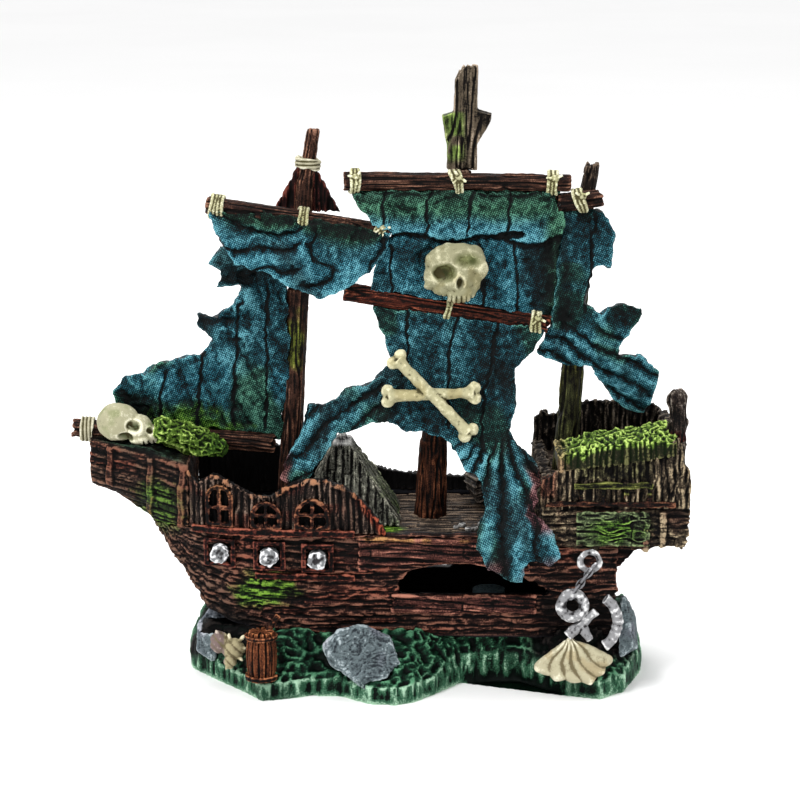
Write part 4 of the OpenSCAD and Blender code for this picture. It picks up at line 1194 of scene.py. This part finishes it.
def make_skull_emblem():
    bm = bmesh.new()
    tilt = Matrix.Rotation(-0.12, 4, "Y")
    for centre, radii in (
        ((20.0, -10.0, 115.4), (8.4, 4.6, 5.2)), ((14.4, -10.8, 111.6), (2.9, 2.6, 3.6)),
        ((12.9, -10.8, 109.0), (1.3, 1.7, 1.3)), ((26.2, -10.8, 113.6), (2.7, 2.6, 3.2)),
        ((20.6, -12.0, 111.4), (4.6, 2.8, 4.2)), ((21.4, -11.4, 107.4), (4.1, 2.6, 3.5)),
        ((16.6, -11.0, 108.9), (3.0, 2.2, 2.6)), ((25.0, -11.2, 110.4), (2.0, 2.1, 3.2)),
    ):
        add_ball(bm, centre, radii, tilt)
    s = Sculpt("skull_emblem_look", bm, 0.28)
    s.p = s.smoothed(5)
    s.warp(0.6, 3.0)
    left = dent(s, (17.0, -14.6, 112.8), (3.5, 4.2, 2.9), 1.7)
    right = dent(s, (23.6, -14.4, 116.4), (4.2, 4.2, 2.5), 1.3)
    nose = dent(s, (21.3, -15.4, 110.2), (1.2, 3.0, 1.9), 1.9)
    x, _, z = s.p.T
    teeth = step(107.2 - z, 0, 1.2)
    s.push(-0.4 * teeth * np.exp(-(((np.mod(x + 0.6, 1.35) - 0.67) / 0.22) ** 2)))
    s.coat((172, 169, 134), (206, 202, 170), 0.06, 0.08, lift=0.12)
    s.daub(0.6 * step(noise(s.p, 4, 9, 2), 0.05, 0.4), (146, 138, 94), (190, 180, 138))
    s.daub(0.9 * np.clip(left + 0.85 * right, 0, 1), (116, 124, 70), (150, 156, 96))
    s.daub(0.9 * dark_core(s, (17.0, 112.6), 1.6), (44, 50, 26), (66, 72, 38))
    s.daub(0.75 * dark_core(s, (24.6, 115.9), 1.2), (66, 74, 36), (90, 98, 50))
    s.daub(nose, (22, 20, 16), (50, 46, 34))
    s.daub(0.8 * step(105.6 - z, 0, 1.4) * step(noise(s.p, 1.2, 14), -0.3, 0.2), (84, 66, 42), (140, 120, 84))
    s.finish(BONE, ["skull_emblem"], "bone_cream")


def dark_core(s, centre, radius):
    return step(radius - np.hypot(s.p[:, 0] - centre[0], s.p[:, 2] - centre[1]), -0.4, 0.8)


def make_figurehead():
    bm = bmesh.new()
    add_ball(bm, (-71.6, -7.6, 70.8), (5.8, 5.0, 5.3))
    add_ball(bm, (-66.0, -8.4, 69.2), (4.0, 4.2, 3.9))
    add_ball(bm, (-62.4, -8.4, 67.6), (3.0, 3.2, 2.6))
    add_ball(bm, (-65.4, -9.4, 66.8), (3.2, 3.0, 2.0))
    s = Sculpt("figurehead_skull_look", bm, 0.26)
    s.push(0.35 * noise(s.p, 3.4, 5, 2))
    socket = dent(s, (-67.0, -12.6, 70.6), (2.1, 3.0, 1.8), 1.7)
    cheek = dent(s, (-69.4, -12.2, 67.2), (2.3, 3.0, 1.6), 1.1)
    nose = dent(s, (-62.6, -11.4, 69.2), (1.0, 2.2, 1.0), 1.0)
    x, _, z = s.p.T
    teeth = step(66.8 - z, 0, 1) * step(x, -66, -64)
    s.push(-0.45 * teeth * np.exp(-(((np.mod(x, 1.3) - 0.65) / 0.2) ** 2)))
    s.coat((194, 190, 156), (234, 230, 204), 0.07, 0.1, lift=0.1)
    s.daub(0.7 * step(noise(s.p, 4.5, 12, 2), 0.1, 0.4), (150, 158, 110), (206, 208, 164))
    s.daub(0.9 * np.clip(socket + cheek, 0, 1), (62, 82, 42), (122, 142, 88))
    s.daub(0.9 * nose, (34, 36, 26), (96, 94, 70))
    s.finish(BONE, ["figurehead_skull"], "bone_cream")


def make_bones():
    bm = bmesh.new()
    for p, q in (((4.5, -12.4, 89), (23.5, -14.4, 69.5)), ((2, -12.6, 79), (25, -12.6, 80))):
        p, q = np.array(p), np.array(q)
        axis = (q - p) / np.linalg.norm(q - p)
        across = np.array([-axis[2], 0, axis[0]])
        add_spike(bm, p, q, 1.6, 1.5)
        for end, out in ((p, -axis), (q, axis)):
            add_spike(bm, end - out * 3.5, end, 1.4, 2.1)
            for sign in (-1, 1):
                add_ball(bm, end + across * 1.45 * sign + out * 0.3, (1.8, 1.5, 1.8))
    s = Sculpt("crossbones_look", bm, 0.28)
    s.p = s.smoothed(4)
    s.find_normals()
    s.warp(0.3, 2.4)
    pitted(s, 0.12, 1.4)
    s.coat((212, 206, 164), (226, 220, 184), 0.06, 0.1, lift=0.1)
    s.daub(0.5 * step(noise(s.p, 5, 3), 0.1, 0.5), (190, 174, 118), (226, 214, 166))
    s.finish(BONE, ["crossbones"], "bone_cream")


def roof_edge(x):
    """Height of the roof's front edge."""
    return np.interp(x, [47, 57, 69, 79], [65.1, 67.6, 69.4, 71.2])


def make_moss():
    s = copied("moss_bow", 0.3)
    s.push(0.9 * noise(s.p, 2.6, 4, 2) + 0.8 * ridged(s.p, (1.5, 1.2, 1.2), 6) - 0.4)
    s.coat(LIME, LIME_EDGE, 0.14, 0.12)
    s.daub(0.8 * step(s.p[:, 0] - 0.8 * (s.p[:, 2] - 66), -50, -44), (48, 82, 26), (108, 150, 50))
    s.finish(FLUFF, ["moss_bow"], "moss_lime")
    s = copied("stern_roof", 0.34)
    s.shift((0, 0, -1), np.interp(s.p[:, 0], [47, 60, 79], [0.3, 2.0, 3.6]))
    x, y, z = s.p.T
    upward = step(s.n[:, 2], 0.1, 0.5)
    growth = 0.9 * noise(s.p, 2.8, 14, 2) + 0.9 * ridged(s.p, (1.3, 2.4, 1.3), 16) - 0.5
    s.push(upward * growth + (1 - upward) * boards(z, x, 1.6, 3, 0.5, 40))
    s.coat(LIME, LIME_EDGE, 0.18, 0.22)
    under = step(roof_edge(x) - 0.8 + 1.4 * noise(s.p, (2, 9, 9), 31) - z, 0, 0.9) * step(-21 - y, 0, 1)
    s.daub(np.maximum(under, step(-s.n[:, 2], 0.2, 0.6)), (42, 42, 28), (104, 104, 66))
    s.daub(0.85 * step(52 - x, 0, 4), (84, 66, 50), (164, 136, 104))
    s.finish(FLUFF, ["stern_roof"], "moss_lime")


# ---- Air supply, floor, light and camera ----


def make_air_parts():
    looks = {
        "air_inlet": plain("clear_plastic", rgb(206, 212, 214), rgb(232, 236, 238), 0.28, clear=0.25),
        "air_tube": plain("tube_plastic", rgb(196, 204, 208), rgb(224, 230, 232), 0.3, clear=0.25),
        "air_stone": plain("porous_stone", rgb(58, 96, 112), rgb(122, 158, 168), 0.85, 1200.0, pores=True),
    }
    for node, material in looks.items():
        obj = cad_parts[node]
        obj.data.materials.clear()
        obj.data.materials.append(material)


def make_stage():
    bm = bmesh.new()
    bmesh.ops.create_grid(bm, x_segments=24, y_segments=24, size=25)
    mesh = bpy.data.meshes.new("floor")
    bm.to_mesh(mesh)
    bm.free()
    floor = bpy.data.objects.new("floor", mesh)
    bpy.context.scene.collection.objects.link(floor)
    mesh.materials.append(plain("floor_paper", (0.95, 0.95, 0.95), (0.97, 0.97, 0.97), 0.9, 3.0))


def add_light(name, place, aim, size, watts):
    data = bpy.data.lights.new(name, "AREA")
    data.shape = "DISK"
    data.size = size
    data.energy = watts
    lamp = bpy.data.objects.new(name, data)
    lamp.location = place
    lamp.rotation_euler = (Vector(aim) - Vector(place)).to_track_quat("-Z", "Y").to_euler()
    bpy.context.scene.collection.objects.link(lamp)


def make_light():
    scene = bpy.context.scene
    world = bpy.data.worlds.new("studio")
    world.use_nodes = True
    world.node_tree.nodes["Background"].inputs[0].default_value = (1, 1, 1, 1)
    world.node_tree.nodes["Background"].inputs[1].default_value = 0.98
    scene.world = world
    scene.view_settings.view_transform = "Standard"
    aim = (0, 0, 0.08)
    add_light("key", (-0.5, -0.55, 0.95), aim, 0.3, 8)
    add_light("fill", (0.8, -0.6, 0.5), aim, 0.7, 1)
    add_light("top", (0.1, 0.25, 1.0), aim, 0.6, 4)
    add_light("back", (-0.3, 0.9, 0.6), aim, 0.6, 3)


def make_camera():
    """Looks square on to the ship's side, from slightly above."""
    target = Vector((5.2, 0, 75.3)) * MM
    rise = math.radians(12)
    away = 700 * MM
    data = bpy.data.cameras.new("camera")
    data.lens = 114.5
    data.sensor_width = 36
    data.clip_start = 0.05
    camera = bpy.data.objects.new("camera", data)
    camera.location = target + Vector((0, -math.cos(rise), math.sin(rise))) * away
    camera.rotation_euler = (target - camera.location).to_track_quat("-Z", "Y").to_euler()
    bpy.context.scene.collection.objects.link(camera)
    bpy.context.scene.camera = camera


def main():
    make_camera()
    make_light()
    make_stage()
    for make in (
        make_base, make_rocks, make_scallop, make_conch, make_barrel, make_anchor, make_chain,
        make_lower_hull, make_beak, make_bulwarks, make_trims, make_cannons, make_castle, make_decks,
        make_deckhouse, make_masts, make_yards, make_lashings, make_fore_course, make_jib,
        make_main_topsail, make_main_course, make_mizzen_sail, make_skull_emblem, make_figurehead,
        make_bones, make_moss, make_air_parts,
    ):
        make()
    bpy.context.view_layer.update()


main()
